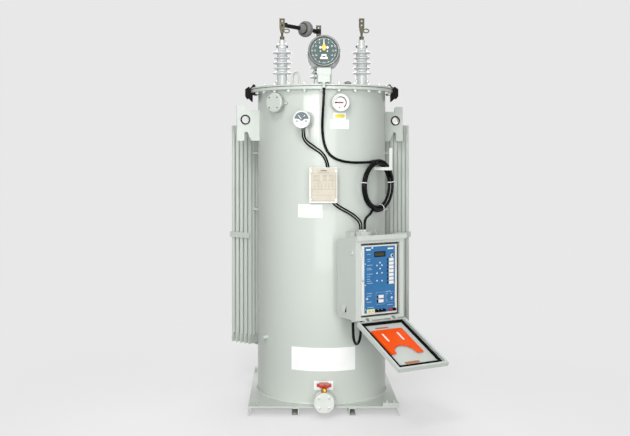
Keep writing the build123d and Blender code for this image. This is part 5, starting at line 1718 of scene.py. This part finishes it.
@dataclass
class HandHole:
    """The round bolted hand hole cover on the upper left of the tank."""

    azimuth: float = -39.0
    height: float = 1553.0
    reach: float = 400.0
    bolt_circle: float = 36.0

    def build(self) -> None:
        """Makes its bolts."""
        recast("hand_hole_smooth", "hand_hole", "tank_paint", TANK_PAINT)
        shape = Shape()
        for turn in (45.0, 135.0, 225.0, 315.0):
            spot = facing(self.azimuth, self.reach, self.height) @ tilt(turn, "Z")
            shape.bolt(spot @ shift(x=self.bolt_circle), DARK_STEEL, 6.5, 2.0, 0.0)
        shape.piece("hand_hole_bolts", "tank_paint")


@dataclass
class DrainValve:
    """The flanged drain valve with its brass stem and red lobed wheel."""

    height: float = 80.0
    front: float = 436.0
    bolt_square: float = 24.5

    def build(self) -> None:
        """Makes the valve's bolts, stem and wheel."""
        # The valve's body takes the paler enamel of painted light.
        for node, slot, finish in (
            ("drain_valve", "valve_metal", VALVE_PAINTED_LIGHT),
            ("drain_bonnet", "valve_brass", BRASS),
        ):
            recast(f"{node}_smooth", node, slot, finish)
        wheel = "drain_handwheel"
        recast("handwheel_smooth", wheel, "handwheel_paint", WHEEL_RED, Body.HANDWHEEL)
        bolts = Shape()
        for x in (-self.bolt_square, self.bolt_square):
            for y in (-self.bolt_square, self.bolt_square):
                spot = facing(0.0, self.front, self.height) @ shift(x, y)
                bolts.bolt(spot, ZINC, 11.0, 4.0, 7.0)
                bolts.rod(4.5, 17.0, spot @ shift(z=-26.5), DARK_STEEL, 12)
        bolts.piece("valve_bolts", "valve_metal")


@dataclass
class Nameplate:
    """The bare rating plate: ruled, with empty fields, on four screws."""

    x: float = -3.0
    z: float = 1141.5
    width: float = 138.0
    height: float = 175.0
    front: float = 388.0
    screw_x: float = 62.0
    screw_z: float = 72.0

    def build(self) -> None:
        """Makes the plate's rules and screws."""
        place = facing(0.0, self.front, self.z, self.x)
        shape = Shape()
        field = (self.width - 9.0, self.height - 9.0, 0.5)
        shape.box(field, place @ shift(x=2.0, y=2.0, z=0.2), ETCHED_FIELD)
        top = place @ shift(x=2.0, y=2.0, z=0.5)
        frame_x, frame_y = self.width / 2 - 11.0, self.height / 2 - 11.0
        for y in (-frame_y, frame_y - 22.0, frame_y - 62.0, frame_y - 100.0, -frame_y + 26.0):
            shape.box((2 * frame_x, 0.8, 0.16), top @ shift(y=y), PLATE_INK)
        for x in (-frame_x, frame_x):
            shape.box((0.8, 2 * frame_y - 22.0, 0.16), top @ shift(x, -11.0), PLATE_INK)
        for row in range(5):
            y = frame_y - 30.0 - row * 6.4
            for x, width in ((-36.0, 34.0), (6.0, 22.0), (38.0, 28.0)):
                shape.box((width, 1.3, 0.16), top @ shift(x, y), PLATE_INK)
        for row in range(4):
            for column in range(6):
                spot = top @ shift(-44.0 + column * 17.5, frame_y - 71.0 - row * 7.5)
                shape.box((9.0, 1.2, 0.16), spot, PLATE_INK)
        shape.box((30.0, 3.2, 0.16), top @ shift(y=frame_y - 7.0), INK_BLACK)
        shape.box((56.0, 1.5, 0.16), top @ shift(y=frame_y - 14.5), PLATE_INK)
        for x in (-self.screw_x, self.screw_x):
            for y in (-self.screw_z, self.screw_z):
                shape.rod(3.6, 1.6, place @ shift(x, y), ZINC, 20, bevel=0.6)
        shape.piece("nameplate_rules", "plate_aluminium")


# --- Control cabinet, its panel and its door ---


@dataclass
class ControlPanel:
    """The blue faceplate: display, keys, switches, fields, posts and outlet."""

    front: float = 551.0
    switch_top: float = 784.0
    switch_pitch: float = 18.4
    switch_x: float = 46.0
    knob_place: Point = (548.0, 691.0, -97.0)
    post_height: float = 542.0
    post_places: tuple[float, ...] = (-22.0, -1.0, 21.0, 59.0, 82.0)
    keys: tuple[Flat, ...] = (
        (0.5, 772.0),
        (-17.0, 759.0),
        (12.0, 759.0),
        (0.5, 743.0),
        (-17.0, 722.0),
        (12.0, 722.0),
        (-17.0, 686.0),
        (12.0, 684.0),
    )
    bars: tuple[tuple[float, float, float], ...] = (
        (-63.0, 20.0, 815.5),
        (-64.0, 17.0, 791.5),
        (-64.0, 15.0, 782.0),
        (-58.0, 32.0, 763.0),
        (-63.0, 24.0, 748.0),
        (-60.0, 30.0, 741.0),
        (-58.0, 32.0, 720.0),
        (-65.0, 18.0, 708.0),
        (-66.0, 18.0, 696.0),
        (-63.0, 24.0, 686.0),
        (-58.0, 32.0, 676.0),
        (-61.0, 28.0, 627.0),
        (-62.0, 26.0, 615.0),
        (-62.0, 28.0, 586.0),
        (48.0, 30.0, 631.0),
        (42.0, 9.0, 619.0),
        (66.0, 9.0, 619.0),
        (42.0, 8.0, 588.0),
        (68.0, 14.0, 590.0),
        (60.0, 34.0, 565.0),
        (-55.0, 36.0, 560.0),
    )

    def at(self, u: float, z: float, rise: float = 0.0) -> Matrix:
        """Returns the local frame of a place on the faceplate."""
        return facing(CABINET_AZIMUTH, self.front + rise, z, u)

    def build(self) -> None:
        """Makes the panel's pieces."""
        self.print_fields()
        self.fit_keys()
        self.fit_controls()

    def print_fields(self) -> None:
        """Prints the display window, the bare fields and the ruled boxes."""
        shape = Shape()
        shape.box((66.0, 27.0, 0.5), self.at(-0.5, 813.0, 0.2), BLACK_PLASTIC, 0.1)
        shape.box((56.0, 17.0, 0.9), self.at(-2.0, 813.0, 0.4), DISPLAY, 0.1)
        for u, width, z in self.bars:
            shape.box((width, 2.6, 0.2), self.at(u, z, 0.1), PANEL_LIGHT_INK)
        for u, width, z in ((-66.0, 26.0, 837.0), (-44.0, 9.0, 845.0), (62.0, 34.0, 838.0)):
            shape.box((width, 7.0, 0.25), self.at(u, z, 0.1), WHITE_PLASTIC)
        for u, width, z, height in ((4.0, 52.0, 600.0, 58.0), (62.0, 50.0, 603.0, 50.0)):
            for side in (-1, 1):
                flat = self.at(u, z + side * height / 2, 0.1)
                steep = self.at(u + side * width / 2, z, 0.1)
                shape.box((width, 0.8, 0.2), flat, PANEL_LIGHT_INK)
                shape.box((0.8, height, 0.2), steep, PANEL_LIGHT_INK)
        for index in range(7):
            z = self.switch_top - index * self.switch_pitch
            shape.box((28.0, 15.0, 0.3), self.at(66.0, z, 0.15), WHITE_PLASTIC)
        for z in (608.0, 587.0):
            shape.box((33.0, 15.0, 0.3), self.at(5.0, z, 0.15), WHITE_PLASTIC)
        shape.piece("faceplate_print", "panel_dark")

    def fit_keys(self) -> None:
        """Fits the round keys and the port."""
        shape = Shape()
        for u, z in self.keys:
            shape.rod(4.4, 1.2, self.at(u, z), PANEL_LIGHT_INK, 24, tip=3.8)
            shape.rod(2.6, 1.4, self.at(u, z), WHITE_PLASTIC, 20)
        shape.rod(8.5, 1.6, self.at(71.0, 803.0), WHITE_PLASTIC, 32, bevel=0.3)
        shape.rod(5.6, 2.2, self.at(72.5, 803.0), BLACK_PLASTIC, 32, bevel=0.3)
        for u in (-84.04, 80.22):
            for z in (770.0, 668.0, 552.0):
                shape.rod(3.4, 1.5, self.at(u, z), ZINC, 20, bevel=0.5)
        shape.piece("faceplate_keys", "control_plastic")

    def fit_controls(self) -> None:
        """Fits the rocker and toggle switches, the posts and the outlet."""
        shape = Shape()
        for index in range(7):
            spot = self.at(self.switch_x, self.switch_top - index * self.switch_pitch)
            shape.box((7.5, 12.5, 2.0), spot @ shift(z=1.0), BLACK_PLASTIC, 0.5)
            shape.box((4.0, 5.5, 4.0), spot @ shift(y=1.5, z=2.9) @ tilt(14.0), BLACK_PLASTIC, 0.6)
        for z in (608.0, 587.0):
            shape.box((8.0, 12.0, 2.6), self.at(-14.0, z, 1.3), BLACK_PLASTIC, 0.5)
            shape.box((4.2, 5.0, 3.4), self.at(-14.0, z + 1.5, 3.2), BLACK_PLASTIC, 0.6)
        for u, z in ((-75.0, 602.0), (68.0, 599.0)):
            # The levers are short enough to clear the pocket of the shut door.
            shape.bolt(self.at(u, z), ZINC, 9.5, 2.0, 6.0)
            lever = self.at(u, z, 1.6) @ tilt(-28.0 if u > 0 else 20.0, "Y")
            shape.rod(1.8, 5.0, lever, ZINC, 12, tip=2.6)
            shape.rod(3.0, 2.6, lever @ shift(z=3.6), ZINC, 16, bevel=1.0)
        tones = (BLACK_PLASTIC, BLACK_PLASTIC, BLACK_PLASTIC, RED_PLASTIC, BLACK_PLASTIC)
        cap = [(0.0, 0.0), (8.0, 0.0), (8.0, 2.4), (5.2, 3.2), (5.2, 5.0), (7.4, 6.2)]
        cap += [(7.4, 10.8), (6.6, 11.6), (3.2, 11.8), (2.8, 10.6), (0.0, 10.4)]
        for u, tone in zip(self.post_places, tones):
            shape.turned(cap, self.at(u, self.post_height), tone, 24)
        for u in (-12.0, 10.0):
            link = self.at(u, self.post_height, 0.6) @ tilt(-24.0, "Z")
            shape.box((4.0, 12.0, 1.2), link, WHITE_PLASTIC, 0.3)
        shape.box((44.0, 20.0, 6.0), self.at(-55.0, self.post_height, 3.0), CREAM_PLASTIC, 1.2)
        for u in (-67.0, -61.0, -49.0, -43.0):
            shape.box((2.0, 7.0, 0.4), self.at(u, self.post_height, 6.1), BLACK_PLASTIC)
        knob = [(0.0, 0.0), (5.0, 0.0), (5.0, 3.4), (4.2, 4.6), (0.0, 5.0)]
        shape.turned(knob, facing(CABINET_AZIMUTH, *self.knob_place), ZINC, 24)
        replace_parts(shape.piece("panel_controls_detail", "control_plastic"), "panel_controls")


@dataclass
class Cabinet:
    """The cabinet's small parts: gland nuts and a black sheet of painted shade in the vent hood's
    mouth.
    """

    gland_reach: float = 420.0
    gland_foot: float = 912.0
    hood_front: Point = (468.0, 532.0, -139.3)

    def build(self) -> None:
        """Makes the gland nuts on the gland box and the black sheet of painted shade in the mouth
        of the vent hood.
        """
        shape = Shape()
        for u, radius in ((-30.0, 5.0), (-18.0, 5.0), (-1.0, 8.5)):
            spot = facing(CABINET_AZIMUTH, self.gland_reach, self.gland_foot, u) @ tilt(-90.0)
            shape.rod(radius + 0.7, 5.5, spot, BLACK_PLASTIC, 6, bevel=0.5)
            shape.rod(radius - 0.2, 3.0, spot @ shift(z=5.5), BLACK_PLASTIC, 20, tip=radius - 0.9)
        # A black rubber sheet in the hood's mouth is painted shade.
        hood_shade = [(-8.3, 0.5), (-0.4, 0.5), (-0.4, 30.5)]
        shape.slab(hood_shade, 0.5, facing(CABINET_AZIMUTH, *self.hood_front), RUBBER)
        shape.piece("gland_nuts_and_hood_shade", "control_plastic")


@dataclass
class Door:
    """The open door, with its clip strips."""

    hinge_out: float = 560.0
    hinge_height: float = 498.0
    open_angle: float = 114.0

    def at(self, u: float, down: float, rise: float = 0.0) -> Matrix:
        """Returns the local frame of a place on the door's inner face.

        Args:
            u: Distance to the right.
            down: Distance from the hinge.
            rise: Distance off the inner face's datum.
        """
        slope = radians(self.open_angle - 90.0)
        turn = radians(CABINET_AZIMUTH)
        out = Vector((sin(turn), -cos(turn), 0.0))
        right = Vector((cos(turn), sin(turn), 0.0))
        up = Vector((0.0, 0.0, 1.0))
        away = out * cos(slope) - up * sin(slope)
        normal = out * sin(slope) + up * cos(slope)
        origin = out * self.hinge_out + up * self.hinge_height + right * u + away * down
        return frame_at(origin + normal * rise, right, -away, normal)

    def build(self) -> None:
        """Makes the door's two strips and the backing of the pocket's slots."""
        shape = Shape()
        shape.box((80.0, 15.0, 1.6), self.at(-24.0, 319.0, -14.7), STRIP_COPPER, 0.4)
        shape.box((72.0, 9.0, 1.6), self.at(-20.0, 46.0, -14.7), STRIP_COPPER, 0.4)
        for u in (-56.0, 29.0):
            shape.box((12.0, 62.0, 0.6), self.at(u, 133.0, -5.6), VINYL_CREAM, 0.2)
        shape.piece("door_strips", "pocket_plastic", body=Body.DOOR)


def main() -> None:
    """Builds every sub-assembly."""
    logging.basicConfig(level=logging.INFO, format="%(name)s: %(message)s")
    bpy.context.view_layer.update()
    Studio().build()
    Cables().build()
    dress_nodes()
    assemblies: list[Any] = [
        Tank(),
        Radiators(),
        Bushing("bushing_left", -210.0, -60.0),
        Bushing("bushing_right", 210.0, -60.0),
        Bushing("bushing_rear", -10.0, 213.0),
        Arrester(),
        PositionIndicator(),
        LevelGauge("level", "level_gauge", 12.7, 1550.0, 385.0, 44.0, 10.0),
        Thermometer("thermometer", "thermometer", -15.0, 1465.0, 430.0, 43.0, 14.0),
        HandHole(),
        DrainValve(),
        Nameplate(),
        ControlPanel(),
        Cabinet(),
        Door(),
    ]
    for assembly in assemblies:
        LOG.info("building %s", type(assembly).__name__)
        assembly.build()


if __name__ == "__main__":
    main()
